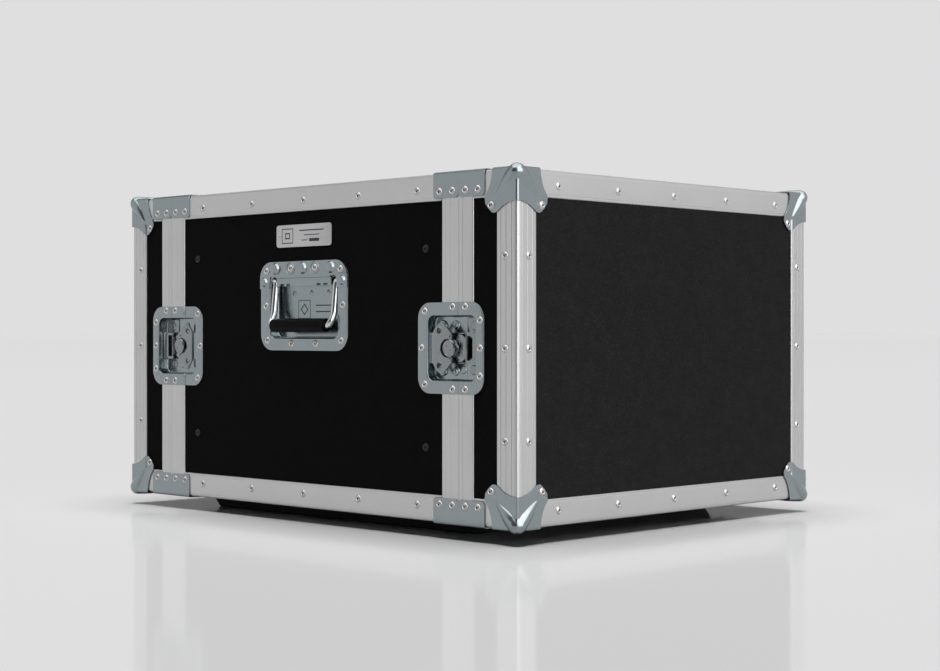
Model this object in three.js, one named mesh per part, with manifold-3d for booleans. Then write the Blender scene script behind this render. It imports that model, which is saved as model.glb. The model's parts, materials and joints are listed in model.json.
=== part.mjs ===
// Equipment rack case for 19-inch audio gear: a plywood box with aluminium edges, a lift-off lid at each end,
// four recessed butterfly latches, two recessed handles and rack strips inside.
// Millimetres, +Z up. The origin is on the floor under the middle of the case.
// The front lid faces -Y, the rear lid +Y, and the two long sides with the latches face -X and +X.
// The front left quarter is drawn, and the other quarters are mirrored copies of it.

import * as THREE from 'three';
import { mergeVertices } from 'three/addons/utils/BufferGeometryUtils.js';
import Module from 'manifold-3d';

// ---- driving dimensions -------------------------------------------------------------------------------------

const RACK_UNIT = 44.45;                 // one rack unit of height
const RACK_UNITS = 8;
const RACK_HOLE_SPAN = 465.1;            // between the two columns of square holes
const RACK_HOLE_STEPS = [6.35, 22.225, 38.1];   // hole heights within one unit
const RACK_HOLE = 9.5;                   // side of a square hole

const WIDTH = 530;                       // over the edge angles
const LENGTH = 691;                      // from lid face to lid face
const BASE_HEIGHT = 17;                  // floor to the underside of the case
const PROFILE_DEPTH = 12.7;              // the hybrid frame, from its outside to its inside
const HEIGHT = RACK_UNITS * RACK_UNIT + 2 * PROFILE_DEPTH;
const LID_DEPTH = 86;                    // lid face to seam

const SKIN = 1.6;                        // thickness of the aluminium extrusions
const ANGLE_LEG = 30;                    // leg of an edge angle
const FIT = 0.3;                         // gap between pieces that touch
const SLIP = 0.2;                        // gap under a thin leg or flange
const LAP = 0.5;                         // overlap of shapes that are joined into one piece
const PAST = 1;                          // how far a cut runs past the faces that it opens
const BEYOND = 300;                      // outside every part of the case
const PLY = 9;                           // plywood thickness

const HALF_WIDTH = WIDTH / 2;
const FACE_Y = -LENGTH / 2;
const SEAM_Y = FACE_Y + LID_DEPTH;
const BOTTOM = BASE_HEIGHT;
const TOP = BASE_HEIGHT + HEIGHT;
const MIDDLE = (BOTTOM + TOP) / 2;

const PLY_OUTER = SKIN + SLIP;           // insets of the plywood from the outside of the case
const PLY_INNER = PLY_OUTER + PLY;
const BODY_SEAM_Y = SEAM_Y + FIT / 2;
const LID_SEAM_Y = SEAM_Y - FIT / 2;
const BODY_FLANGE = 26.5;                // outer flange of the hybrid frame on the body
const LID_FLANGE = 21.5;                 // and on the lid
const BODY_FLANGE_Y = SEAM_Y + BODY_FLANGE;
const LID_FLANGE_Y = SEAM_Y - LID_FLANGE;
const WEB = 2;
const INNER_FLANGE = 14;
const TONGUE = { outer: 5, inner: 8, length: 4 };
const GROOVE_PLAY = 0.4;
const LID_WEB = 6;

const BRACE = { reach: 27.5, bodyLength: 40, lidLength: 39.3, thick: 1.2, pad: 0.8 };

const BALL = { radius: 9.7, inset: 4.7, plate: 1.2, around: 12, down: 8 };
const RIDGE = { end: 30, rise: 1, startRadius: 8, tipRadius: 3 };
const CORNER_OUTLINE = [[36, 0], [37.9, 15.3], [47.2, 29.2], [47.2, 37]];   // half of the plate, to its diagonal

const BASE = { halfWidth: 209, halfLength: 240, sideChamfer: 1.5, endChamfer: 8.5 };
const STRIP = { faceY: -221.5, leg: 30, thick: 2, outer: 250.3, inner: 224, boltY: -206.5, boltRise: 109.3, pad: 8 };
const NAMEPLATE = { halfLength: 50, low: 326, high: 352.5, radius: 4, thick: 0.6 };

// Latch, seen square on from its side: y along the case, z from the middle of its height.
// Levels are distances from the middle plane of the case.
const LATCH = {
  from: FACE_Y + 47.2, to: FACE_Y + 150.2, half: 50, radius: 18,        // flange
  dishFrom: FACE_Y + 60.3, dishTo: FACE_Y + 135, dishHalf: 35.3, dishRadius: 8,
  sheet: 1.2, floor: 252, knobY: FACE_Y + 101.8,
};
const LATCH_CUT = { grow: 1.7, floor: 250.4, strap: 249, strapHalf: 46 };
const KNOB = { radius: 9.7, low: 258, high: 265.8, spindle: 4.5, pin: 1.3, pinReach: 13, axis: 262 };
const WING = { low: 262.1, high: 263.6, sweep: 32, arc: 10.2, arcAlong: 4, eye: 2.6, eyeReach: 14, hole: 1.5 };
const FINGER_HOLE = { radius: 3.25, along: 16.2, up: 19 };
const WING_OUTLINE = [[-3.1, 15.4], [10.6, 28.4], [18.6, 29], [24.9, 21.5]];    // half of it, from the knob's axis
const HOOK = {
  low: 256, high: 257.5, half: 14.7, tongueHalf: 11, tip: FACE_Y + 81, slot: 4.9, travel: 4.5,
  shoulder: SEAM_Y - 1.4, back: FACE_Y + 115.8, corner: 5,
};
const BRIDGE = { low: 258, high: 259.5, half: 16.6, wall: 1.6, from: FACE_Y + 64, to: FACE_Y + 81.5 };
const BRIDGE_WINDOW = { from: FACE_Y + 71.8, to: FACE_Y + 78.4, half: 13.5 };

const HANDLE = {
  halfLength: 79, low: 203, high: 309, radius: 20, sheet: 1.2,
  dishHalf: 60.5, dishLow: 217.7, dishHigh: 291, dishRadius: 8, topRadius: 3, floor: 251.7,
};
const COVER = { low: 281, wingLow: 277, wingFrom: 62, notchFrom: 49.5, notchTo: 60, notchTop: 291, thick: 1.2 };
const BAIL = { radius: 4, pin: 3, legY: 54.7, endY: 59.9, pivotOut: 260, pivotZ: 286, gripOut: 270, gripZ: 233 };
const GRIP = { radius: 8.5, halfLength: 47.5, chamfer: 1.5, play: 0.3 };

const ROUND = 14;                        // sides of a round piece
const THIN_ROUND = 8;                    // and of a thin bar
const ARC = 3;                           // steps in a rounded corner
const WELD = 1e-4;                       // points closer than this are one point

// ---- solids --------------------------------------------------------------------------------------------------

const wasm = await Module();
wasm.setup();

function solid(geometry) {
  const bare = geometry.index ? geometry.toNonIndexed() : geometry.clone();
  bare.deleteAttribute('normal');
  bare.deleteAttribute('uv');
  const merged = mergeVertices(bare, WELD);
  return new wasm.Manifold(new wasm.Mesh({
    numProp: 3,
    vertProperties: new Float32Array(merged.attributes.position.array),
    triVerts: new Uint32Array(merged.index.array),
  }));
}

function surface(body) {
  const { vertProperties, triVerts, numProp } = body.getMesh();
  const points = [];
  for (let i = 0; i < vertProperties.length; i += numProp) {
    points.push(vertProperties[i], vertProperties[i + 1], vertProperties[i + 2]);
  }
  const geometry = new THREE.BufferGeometry();
  geometry.setAttribute('position', new THREE.Float32BufferAttribute(points, 3));
  geometry.setIndex(Array.from(triVerts));
  geometry.computeVertexNormals();
  return geometry;
}

const joined = (...bodies) => bodies.reduce((sum, body) => sum.add(body));

function box([x0, x1], [y0, y1], [z0, z1]) {
  const geometry = new THREE.BoxGeometry(x1 - x0, y1 - y0, z1 - z0);
  return solid(geometry.translate((x0 + x1) / 2, (y0 + y1) / 2, (z0 + z1) / 2));
}

const axis = (x, y, z) => new THREE.Vector3(x, y, z);
const FACING_SIDE = new THREE.Matrix4().makeBasis(axis(0, 1, 0), axis(0, 0, 1), axis(1, 0, 0));
const FACING_END = new THREE.Matrix4().makeBasis(axis(1, 0, 0), axis(0, 0, 1), axis(0, -1, 0));

// A flat piece on the left side: its outline in (y, z), between two distances from the middle plane.
function sidePlate(shape, low, high) {
  const geometry = new THREE.ExtrudeGeometry(shape, { depth: high - low, bevelEnabled: false, curveSegments: ARC });
  return solid(geometry.applyMatrix4(FACING_SIDE).translate(-high, 0, 0));
}

// A block on the left side, by its range of distances from the middle plane.
const sideBox = ([low, high], ys, zs) => box([-high, -low], ys, zs);

// A rectangular ring round the case, between two insets from its outside.
function ring(outer, inner, [y0, y1]) {
  const shape = rectangle([outer - HALF_WIDTH, HALF_WIDTH - outer], [BOTTOM + outer, TOP - outer]);
  shape.holes.push(rectangle([inner - HALF_WIDTH, HALF_WIDTH - inner], [BOTTOM + inner, TOP - inner]));
  const geometry = new THREE.ExtrudeGeometry(shape, { depth: y1 - y0, bevelEnabled: false });
  return solid(geometry.applyMatrix4(FACING_END).translate(0, y1, 0));
}

// The four blocks along the long edges of the case that reach the given distance in from them.
function edgeBlocks(reach, ys) {
  const blocks = [];
  for (const side of [-1, 1]) {
    const xs = [side * (HALF_WIDTH + reach), side * (HALF_WIDTH - reach)].sort((a, b) => a - b);
    blocks.push(box(xs, ys, [BOTTOM - reach, BOTTOM + reach]), box(xs, ys, [TOP - reach, TOP + reach]));
  }
  return joined(...blocks);
}

function polygon(points) {
  return new THREE.Shape(points.map(([a, b]) => new THREE.Vector2(a, b)));
}

function rectangle([a0, a1], [b0, b1]) {
  return polygon([[a0, b0], [a1, b0], [a1, b1], [a0, b1]]);
}

function roundedRectangle([a0, a1], [b0, b1], radius) {
  const shape = new THREE.Shape();
  shape.absarc(a1 - radius, b1 - radius, radius, 0, Math.PI / 2);
  shape.absarc(a0 + radius, b1 - radius, radius, Math.PI / 2, Math.PI);
  shape.absarc(a0 + radius, b0 + radius, radius, Math.PI, 1.5 * Math.PI);
  shape.absarc(a1 - radius, b0 + radius, radius, 1.5 * Math.PI, 2 * Math.PI);
  return shape;
}

// A round bar between two points, with its own radius at each end.
function bar(from, to, startRadius, endRadius = startRadius, sides = ROUND) {
  const along = to.clone().sub(from);
  const geometry = new THREE.CylinderGeometry(endRadius, startRadius, along.length(), sides);
  const turn = new THREE.Quaternion().setFromUnitVectors(axis(0, 1, 0), along.clone().normalize());
  return solid(geometry.applyQuaternion(turn).translate(...from.clone().addScaledVector(along, 0.5).toArray()));
}

// A round bar that stands square on the left side, centred on (y, z).
const sideBar = (y, z, radius, low, high) => bar(axis(-low, y, z), axis(-high, y, z), radius);

// ---- case body -----------------------------------------------------------------------------------------------

// What is cut away for one latch dish, and the strap left behind it that keeps each frame in one piece.
const latchCut = sideBox([LATCH_CUT.floor, BEYOND],
  [LATCH.dishFrom - LATCH_CUT.grow, LATCH.dishTo + LATCH_CUT.grow],
  [MIDDLE - LATCH.dishHalf - LATCH_CUT.grow, MIDDLE + LATCH.dishHalf + LATCH_CUT.grow]);

const latchStrap = (ys) => sideBox([LATCH_CUT.strap, HALF_WIDTH - SKIN], ys,
  [MIDDLE - LATCH_CUT.strapHalf, MIDDLE + LATCH_CUT.strapHalf]);

const bothSides = (body) => body.add(body.mirror([1, 0, 0]));
const bothEnds = (body) => body.add(body.mirror([0, 1, 0]));

function sidePanel() {
  const panel = sideBox([HALF_WIDTH - PLY_INNER, HALF_WIDTH - PLY_OUTER],
    [BODY_SEAM_Y + WEB + FIT, -BODY_SEAM_Y - WEB - FIT],
    [BOTTOM + PLY_INNER + FIT, TOP - PLY_INNER - FIT]);
  const play = HANDLE.sheet + FIT + SLIP;
  const handleCut = sideBox([HALF_WIDTH - PLY_INNER - PAST, HALF_WIDTH],
    [-HANDLE.dishHalf - play, HANDLE.dishHalf + play], [HANDLE.dishLow - play, HANDLE.dishHigh + play]);
  return panel.subtract(bothEnds(latchCut)).subtract(handleCut);
}

function levelPanel(low) {
  return box([PLY_OUTER - HALF_WIDTH, HALF_WIDTH - PLY_OUTER],
    [BODY_SEAM_Y + WEB + FIT, -BODY_SEAM_Y - WEB - FIT], [low, low + PLY]);
}

function edgeAngle() {
  const ys = [BODY_FLANGE_Y + FIT, -BODY_FLANGE_Y - FIT];
  const upright = box([-HALF_WIDTH, SKIN - HALF_WIDTH], ys, [TOP - ANGLE_LEG, TOP]);
  return upright.add(box([-HALF_WIDTH, ANGLE_LEG - HALF_WIDTH], ys, [TOP - SKIN, TOP]));
}

// The steel braces over the four long edges, and the pads that join them to the frame under them.
function braces(ys, padYs) {
  const plates = ring(-SLIP - BRACE.thick, -SLIP, ys);
  const pads = ring(-SLIP - BRACE.thick / 2, BRACE.pad, padYs);
  return plates.add(pads).intersect(edgeBlocks(BRACE.reach, [FACE_Y, 0]));
}

function bodyFrame() {
  const frame = joined(
    ring(0, SKIN, [BODY_SEAM_Y, BODY_FLANGE_Y]),
    ring(0, PROFILE_DEPTH, [BODY_SEAM_Y, BODY_SEAM_Y + WEB]),
    ring(PROFILE_DEPTH - SKIN, PROFILE_DEPTH, [BODY_SEAM_Y, SEAM_Y + INNER_FLANGE]),
    ring(TONGUE.outer, TONGUE.inner, [SEAM_Y - TONGUE.length, BODY_SEAM_Y + WEB]),
    bothSides(latchStrap([BODY_SEAM_Y, BODY_SEAM_Y + WEB])),
    bothSides(sideBox([LATCH_CUT.strap, HALF_WIDTH - PROFILE_DEPTH + LAP],
      [BODY_SEAM_Y, SEAM_Y + INNER_FLANGE], [MIDDLE - LATCH_CUT.strapHalf, MIDDLE + LATCH_CUT.strapHalf])),
    braces([BODY_SEAM_Y, SEAM_Y + BRACE.bodyLength], [BODY_SEAM_Y, BODY_FLANGE_Y]));
  return frame.subtract(bothSides(latchCut));
}

// One rack strip: a steel angle with square holes, on spacer pads against the side panel.
function rackStrip() {
  const low = BOTTOM + PROFILE_DEPTH;
  const ends = [low + FIT, TOP - PROFILE_DEPTH - FIT];
  const backY = STRIP.faceY + STRIP.leg;
  const face = sideBox([STRIP.inner, STRIP.outer], [STRIP.faceY, STRIP.faceY + STRIP.thick], ends);
  const leg = sideBox([STRIP.outer - STRIP.thick, STRIP.outer], [STRIP.faceY, backY], ends);
  const pads = [-1, 1].map((side) => sideBar(STRIP.boltY, MIDDLE + side * STRIP.boltRise, STRIP.pad,
    STRIP.outer - LAP, HALF_WIDTH - PLY_INNER - FIT));
  const holes = [];
  for (let unit = 0; unit < RACK_UNITS; unit += 1) {
    for (const step of RACK_HOLE_STEPS) {
      const z = low + unit * RACK_UNIT + step;
      const out = RACK_HOLE_SPAN / 2;
      holes.push(sideBox([out - RACK_HOLE / 2, out + RACK_HOLE / 2],
        [STRIP.faceY - PAST, STRIP.faceY + STRIP.thick + PAST], [z - RACK_HOLE / 2, z + RACK_HOLE / 2]));
    }
  }
  return joined(face, leg, ...pads).subtract(joined(...holes));
}

// The board under the case, with its lower edges chamfered. It rises between the flanges of the hybrid frames to
// the plywood, and its two ends run out under those flanges.
function baseBoard() {
  const { halfWidth: w, halfLength: l } = BASE;
  const top = BOTTOM + PLY_OUTER - FIT;
  const under = BOTTOM - SLIP;
  const neck = -BODY_FLANGE_Y - FIT;
  const section = (half, c, inner, step) => polygon([[c - half, 0], [half - c, 0], [half, c], [half, step],
    [inner, step], [inner, top], [-inner, top], [-inner, step], [-half, step], [-half, c]]);
  const across = section(w, BASE.sideChamfer, w - LAP, under);
  const geometry = new THREE.ExtrudeGeometry(across, { depth: 2 * l, bevelEnabled: false });
  const alongEnds = sidePlate(section(l, BASE.endChamfer, neck, under), -w, w);
  return solid(geometry.applyMatrix4(FACING_END).translate(0, l, 0)).intersect(alongEnds);
}

function nameplate() {
  const { halfLength, low, high, radius } = NAMEPLATE;
  const outline = roundedRectangle([-halfLength, halfLength], [low, high], radius);
  const back = HALF_WIDTH - PLY_OUTER + SLIP;
  return sidePlate(outline, back, back + NAMEPLATE.thick);
}

// ---- lid -----------------------------------------------------------------------------------------------------

const LID_WALL_BACK = SEAM_Y - LID_WEB - FIT;
const LID_FACE_OUT = FACE_Y + SKIN + SLIP;

function lidFace() {
  return box([PLY_OUTER - HALF_WIDTH, HALF_WIDTH - PLY_OUTER], [LID_FACE_OUT, LID_FACE_OUT + PLY],
    [BOTTOM + PLY_OUTER, TOP - PLY_OUTER]);
}

function lidWalls() {
  return ring(PLY_OUTER, PLY_INNER, [LID_FACE_OUT + PLY + FIT, LID_WALL_BACK]).subtract(bothSides(latchCut));
}

// The angle round the lid's face, and the stubs that run back from its corners along the long edges.
function lidEdge() {
  const stubEnd = LID_FLANGE_Y - FIT;
  const stubs = ring(0, SKIN, [FACE_Y, stubEnd]).intersect(edgeBlocks(ANGLE_LEG, [FACE_Y, stubEnd]));
  return joined(ring(0, ANGLE_LEG, [FACE_Y, FACE_Y + SKIN]), ring(0, SKIN, [FACE_Y, FACE_Y + ANGLE_LEG]), stubs);
}

function lidFrame() {
  const web = [SEAM_Y - LID_WEB, LID_SEAM_Y];
  const frame = joined(
    ring(0, SKIN, [LID_FLANGE_Y, LID_SEAM_Y]),
    ring(0, PROFILE_DEPTH, web),
    bothSides(latchStrap(web)),
    braces([SEAM_Y - BRACE.lidLength, LID_SEAM_Y], [LID_FLANGE_Y, LID_SEAM_Y]));
  const groove = ring(TONGUE.outer - GROOVE_PLAY, TONGUE.inner + GROOVE_PLAY,
    [SEAM_Y - TONGUE.length - GROOVE_PLAY, SEAM_Y]);
  return frame.subtract(groove).subtract(bothSides(latchCut));
}

// A ball corner, drawn from the case's corner with x, y and z all running into the case.
function ballCorner() {
  const out = -FIT - BALL.plate;
  const half = CORNER_OUTLINE.map(([u, v]) => [u, v === 0 ? out : v]);
  const outline = [[out, out], ...half, ...half.map(([u, v]) => [v, u]).reverse()];
  const faces = [
    new THREE.Matrix4(),
    new THREE.Matrix4().makeBasis(axis(0, 1, 0), axis(0, 0, 1), axis(1, 0, 0)),
    new THREE.Matrix4().makeBasis(axis(0, 0, 1), axis(1, 0, 0), axis(0, 1, 0)),
  ];
  const centre = axis(BALL.inset, BALL.inset, BALL.inset);
  const pieces = [solid(new THREE.SphereGeometry(BALL.radius, BALL.around, BALL.down).translate(...centre.toArray()))];
  for (const face of faces) {
    const plate = new THREE.ExtrudeGeometry(polygon(outline), { depth: BALL.plate, bevelEnabled: false });
    pieces.push(solid(plate.translate(0, 0, out).applyMatrix4(face)));
    const tip = axis(RIDGE.end, RIDGE.end, RIDGE.rise).applyMatrix4(face);
    pieces.push(bar(centre, tip, RIDGE.startRadius, RIDGE.tipRadius, THIN_ROUND));
  }
  const inside = box([-FIT, BEYOND], [-FIT, BEYOND], [-FIT, BEYOND]);
  return joined(...pieces).subtract(inside);
}

// ---- latch, front left ---------------------------------------------------------------------------------------

// The whole pressed dish before it is split at the seam: a flange that steps down from the hybrid frame to the
// plywood on both sides of it, and a pan.
function wholeDish() {
  const { sheet, floor } = LATCH;
  const onFrame = HALF_WIDTH + SLIP;
  const onPly = HALF_WIDTH - PLY_OUTER + FIT;
  const zs = [MIDDLE - LATCH.half, MIDDLE + LATCH.half];
  const frameYs = [LID_FLANGE_Y - FIT, BODY_FLANGE_Y + FIT];
  const stepYs = [frameYs[0] - sheet, frameYs[1] + sheet];
  const outline = roundedRectangle([LATCH.from, LATCH.to], zs, LATCH.radius);
  const sheets = joined(
    sideBox([onFrame, onFrame + sheet], stepYs, zs),
    sideBox([onPly, onFrame + sheet], [stepYs[0], frameYs[0]], zs),
    sideBox([onPly, onFrame + sheet], [frameYs[1], stepYs[1]], zs),
    sideBox([onPly, onPly + sheet], [LATCH.from, frameYs[0]], zs),
    sideBox([onPly, onPly + sheet], [frameYs[1], LATCH.to], zs));
  const flange = sheets.intersect(sidePlate(outline, onPly - PAST, BEYOND));

  const pan = (grow, low, high) => sidePlate(roundedRectangle(
    [LATCH.dishFrom - grow, LATCH.dishTo + grow],
    [MIDDLE - LATCH.dishHalf - grow, MIDDLE + LATCH.dishHalf + grow], LATCH.dishRadius + grow), low, high);
  const highWalls = pan(sheet, floor - sheet, onFrame + sheet / 2).intersect(sideBox([0, BEYOND], stepYs, zs));
  return joined(flange, pan(sheet, floor - sheet, onPly + sheet / 2), highWalls)
    .subtract(pan(0, floor, BEYOND));
}

function latchPieces() {
  const whole = wholeDish();
  const bodyHalf = sideBox([0, BEYOND], [BODY_SEAM_Y, SEAM_Y + BEYOND], [0, TOP]);
  const lidHalf = sideBox([0, BEYOND], [SEAM_Y - BEYOND, LID_SEAM_Y], [0, TOP]);
  return {
    dish: whole.intersect(bodyHalf),
    keeper: joined(whole.intersect(lidHalf), keeperBridge()),
    rotor: latchRotor(),
    wing: latchWing(),
    hook: latchHook(),
  };
}

// The bridge on the lid's half of the dish, open towards the body so that the hook runs in under it.
function keeperBridge() {
  const { low, high, half, wall, from, to } = BRIDGE;
  const zs = [MIDDLE - half, MIDDLE + half];
  const block = sideBox([LATCH.floor - LATCH.sheet / 2, high], [from, to], zs);
  const tunnel = sideBox([LATCH.floor - PAST, low], [from + wall, to + PAST], [MIDDLE - half + wall, MIDDLE + half - wall]);
  const floorBelow = sideBox([LATCH.floor - LATCH.sheet, LATCH.floor], [from, to], zs);
  const window = sideBox([low - PAST, high + PAST], [BRIDGE_WINDOW.from, BRIDGE_WINDOW.to],
    [MIDDLE - BRIDGE_WINDOW.half, MIDDLE + BRIDGE_WINDOW.half]);
  return block.subtract(tunnel).subtract(window).add(floorBelow);
}

function latchRotor() {
  const pinAt = (z) => axis(-KNOB.axis, LATCH.knobY, MIDDLE + z);
  return joined(
    sideBar(LATCH.knobY, MIDDLE, KNOB.radius, KNOB.low, KNOB.high),
    sideBar(LATCH.knobY, MIDDLE, KNOB.spindle, LATCH.floor + FIT, KNOB.low + LAP),
    bar(pinAt(-KNOB.pinReach), pinAt(KNOB.pinReach), KNOB.pin, KNOB.pin, THIN_ROUND));
}

// The folding wing: its outline stays inside the circle that it sweeps in the dish.
function latchWing() {
  const y = LATCH.knobY;
  const place = ([along, up]) => [y + along, MIDDLE + up];
  const upper = WING_OUTLINE.map(place);
  const lower = WING_OUTLINE.map(([along, up]) => place([along, -up])).reverse();
  const plate = sidePlate(polygon([...lower, ...upper].reverse()), WING.low, WING.high);
  const swept = sideBar(y, MIDDLE, WING.sweep, WING.low - PAST, WING.high + PAST);
  const onAxis = (up) => axis(-KNOB.axis, y, MIDDLE + up);
  const eyes = [-1, 1].map((side) => bar(onAxis(side * WING.arc), onAxis(side * WING.eyeReach),
    WING.eye, WING.eye, THIN_ROUND));
  const pinHole = bar(onAxis(-WING.sweep), onAxis(WING.sweep), WING.hole, WING.hole, THIN_ROUND);
  const deep = [LATCH.floor, BEYOND];
  const round = sideBar(y + WING.arcAlong, MIDDLE, WING.arc, ...deep);
  const straight = sideBox(deep, [y - WING.arc, y + WING.arcAlong], [MIDDLE - WING.arc, MIDDLE + WING.arc]);
  const fingerHoles = [-1, 1].map((side) => sideBar(y + FINGER_HOLE.along, MIDDLE + side * FINGER_HOLE.up,
    FINGER_HOLE.radius, ...deep));
  return joined(plate.intersect(swept), ...eyes).subtract(joined(pinHole, round, straight, ...fingerHoles));
}

function latchHook() {
  const y = LATCH.knobY;
  const { tip, shoulder, corner, back, tongueHalf } = HOOK;
  const half = [[tip, tongueHalf], [shoulder - 1, tongueHalf], [shoulder + corner, HOOK.half],
    [back - corner, HOOK.half], [back, HOOK.half - corner]];
  const outline = [...half.map(([a, b]) => [a, MIDDLE - b]), ...half.map(([a, b]) => [a, MIDDLE + b]).reverse()];
  const deep = [HOOK.low - PAST, HOOK.high + PAST];
  const slot = joined(
    sideBar(y, MIDDLE, HOOK.slot, ...deep),
    sideBar(y + HOOK.travel, MIDDLE, HOOK.slot, ...deep),
    sideBox(deep, [y, y + HOOK.travel], [MIDDLE - HOOK.slot, MIDDLE + HOOK.slot]));
  return sidePlate(polygon(outline), HOOK.low, HOOK.high).subtract(slot);
}

// ---- handle, left --------------------------------------------------------------------------------------------

function handleDish() {
  const { sheet, floor } = HANDLE;
  const onPly = HALF_WIDTH - PLY_OUTER + FIT;
  const flange = sidePlate(roundedRectangle([-HANDLE.halfLength, HANDLE.halfLength],
    [HANDLE.low, HANDLE.high], HANDLE.radius), onPly, onPly + sheet);
  const rounded = (grow, bottom, radius, low, high) => sidePlate(roundedRectangle(
    [-HANDLE.dishHalf - grow, HANDLE.dishHalf + grow], [bottom - grow, HANDLE.dishHigh + grow], radius + grow),
    low, high);
  const pan = (...sizes) => rounded(sizes[0], HANDLE.dishLow, HANDLE.dishRadius, sizes[1], sizes[2])
    .add(rounded(sizes[0], (HANDLE.dishLow + HANDLE.dishHigh) / 2, HANDLE.topRadius, sizes[1], sizes[2]));
  return flange.add(pan(sheet, floor - sheet, onPly + sheet / 2)).subtract(pan(0, floor, BEYOND));
}

// The hinge cover over the top of the dish, with a notch for each leg of the bail.
function handleCover() {
  const level = HALF_WIDTH - PLY_OUTER + FIT + HANDLE.sheet + SLIP;
  const outline = roundedRectangle([-HANDLE.halfLength, HANDLE.halfLength],
    [HANDLE.low, HANDLE.high], HANDLE.radius);
  const lower = (half, top) => box([-BEYOND, 0], [-half, half], [0, top]);
  const notch = (side) => {
    const ys = [side * COVER.notchFrom, side * COVER.notchTo].sort((a, b) => a - b);
    return box([-BEYOND, 0], ys, [0, COVER.notchTop]);
  };
  return sidePlate(outline, level, level + COVER.thick)
    .subtract(joined(lower(BEYOND, COVER.wingLow), lower(COVER.wingFrom, COVER.low),
      notch(-1), notch(1)));
}

function handleBail() {
  const pieces = [];
  const grip = (side) => axis(-BAIL.gripOut, side * BAIL.legY, BAIL.gripZ);
  for (const side of [-1, 1]) {
    const top = axis(-BAIL.pivotOut, side * BAIL.legY, BAIL.pivotZ);
    const end = axis(-BAIL.pivotOut, side * BAIL.endY, BAIL.pivotZ);
    pieces.push(bar(top, end, BAIL.pin, BAIL.pin, THIN_ROUND),
      bar(top, grip(side), BAIL.radius, BAIL.radius, THIN_ROUND));
    for (const bend of [top, grip(side)]) {
      const ball = new THREE.SphereGeometry(BAIL.radius, THIN_ROUND, THIN_ROUND - 2);
      pieces.push(solid(ball.translate(...bend.toArray())));
    }
  }
  pieces.push(bar(grip(-1), grip(1), BAIL.radius, BAIL.radius, THIN_ROUND));
  return joined(...pieces);
}

function handleGrip() {
  const { radius, halfLength, chamfer } = GRIP;
  const bore = BAIL.radius + GRIP.play;
  const profile = [[bore, -halfLength], [radius - chamfer, -halfLength], [radius, chamfer - halfLength],
    [radius, halfLength - chamfer], [radius - chamfer, halfLength], [bore, halfLength], [bore, -halfLength]];
  const geometry = new THREE.LatheGeometry(profile.map(([r, y]) => new THREE.Vector2(r, y)), ROUND);
  return solid(geometry.translate(-BAIL.gripOut, 0, BAIL.gripZ));
}

// ---- materials -----------------------------------------------------------------------------------------------

const FINISHES = {
  laminate: { color: 0x171717, roughness: 0.55, metalness: 0 },
  aluminium: { color: 0xb4b4b5, roughness: 0.4, metalness: 1 },
  zincSteel: { color: 0x8d979e, roughness: 0.32, metalness: 1 },
  brightSteel: { color: 0xa6afb4, roughness: 0.2, metalness: 1 },
  blackGrip: { color: 0x101010, roughness: 0.45, metalness: 0 },
  stripSteel: { color: 0x9a9ea0, roughness: 0.45, metalness: 1 },
  blackBoard: { color: 0x0c0c0c, roughness: 0.7, metalness: 0 },
  plateMetal: { color: 0xc9c9cb, roughness: 0.35, metalness: 1 },
};

// ---- the whole case ------------------------------------------------------------------------------------------

function mesh(name, geometry, finish) {
  const piece = new THREE.Mesh(geometry, new THREE.MeshStandardMaterial(FINISHES[finish]));
  piece.name = name;
  return piece;
}

function mirrored(x, y, ...pieces) {
  const group = new THREE.Group();
  group.scale.set(x, y, 1);
  group.add(...pieces);
  return group;
}

const SIDES = [['left', 1], ['right', -1]];
const ENDS = [['front', 1], ['rear', -1]];

const rackCase = new THREE.Group();

rackCase.add(
  mesh('body_top_panel', surface(levelPanel(TOP - PLY_INNER)), 'laminate'),
  mesh('body_bottom_panel', surface(levelPanel(BOTTOM + PLY_OUTER)), 'laminate'),
  mesh('base_board', surface(baseBoard()), 'blackBoard'),
  mesh('nameplate', surface(nameplate()), 'plateMetal'));

const side = {
  panel: surface(sidePanel()),
  angle: surface(edgeAngle()),
  dish: surface(handleDish()),
  cover: surface(handleCover()),
  bail: surface(handleBail()),
  grip: surface(handleGrip()),
};
for (const [name, x] of SIDES) {
  const lowerAngle = mesh(`body_edge_angle_bottom_${name}`, side.angle, 'aluminium');
  lowerAngle.scale.z = -1;
  lowerAngle.position.z = BOTTOM + TOP;
  rackCase.add(mirrored(x, 1,
    mesh(`body_${name}_panel`, side.panel, 'laminate'),
    mesh(`body_edge_angle_top_${name}`, side.angle, 'aluminium'),
    lowerAngle,
    mesh(`${name}_handle_dish`, side.dish, 'zincSteel'),
    mesh(`${name}_handle_cover`, side.cover, 'zincSteel'),
    mesh(`${name}_handle_bail`, side.bail, 'brightSteel'),
    mesh(`${name}_handle_grip`, side.grip, 'blackGrip')));
}

const end = {
  bodyFrame: surface(bodyFrame()),
  face: surface(lidFace()),
  walls: surface(lidWalls()),
  edge: surface(lidEdge()),
  frame: surface(lidFrame()),
};
for (const [name, y] of ENDS) {
  rackCase.add(mirrored(1, y,
    mesh(`${name}_body_frame`, end.bodyFrame, 'aluminium'),
    mesh(`${name}_lid_face`, end.face, 'laminate'),
    mesh(`${name}_lid_walls`, end.walls, 'laminate'),
    mesh(`${name}_lid_edge`, end.edge, 'aluminium'),
    mesh(`${name}_lid_frame`, end.frame, 'aluminium')));
}

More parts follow.
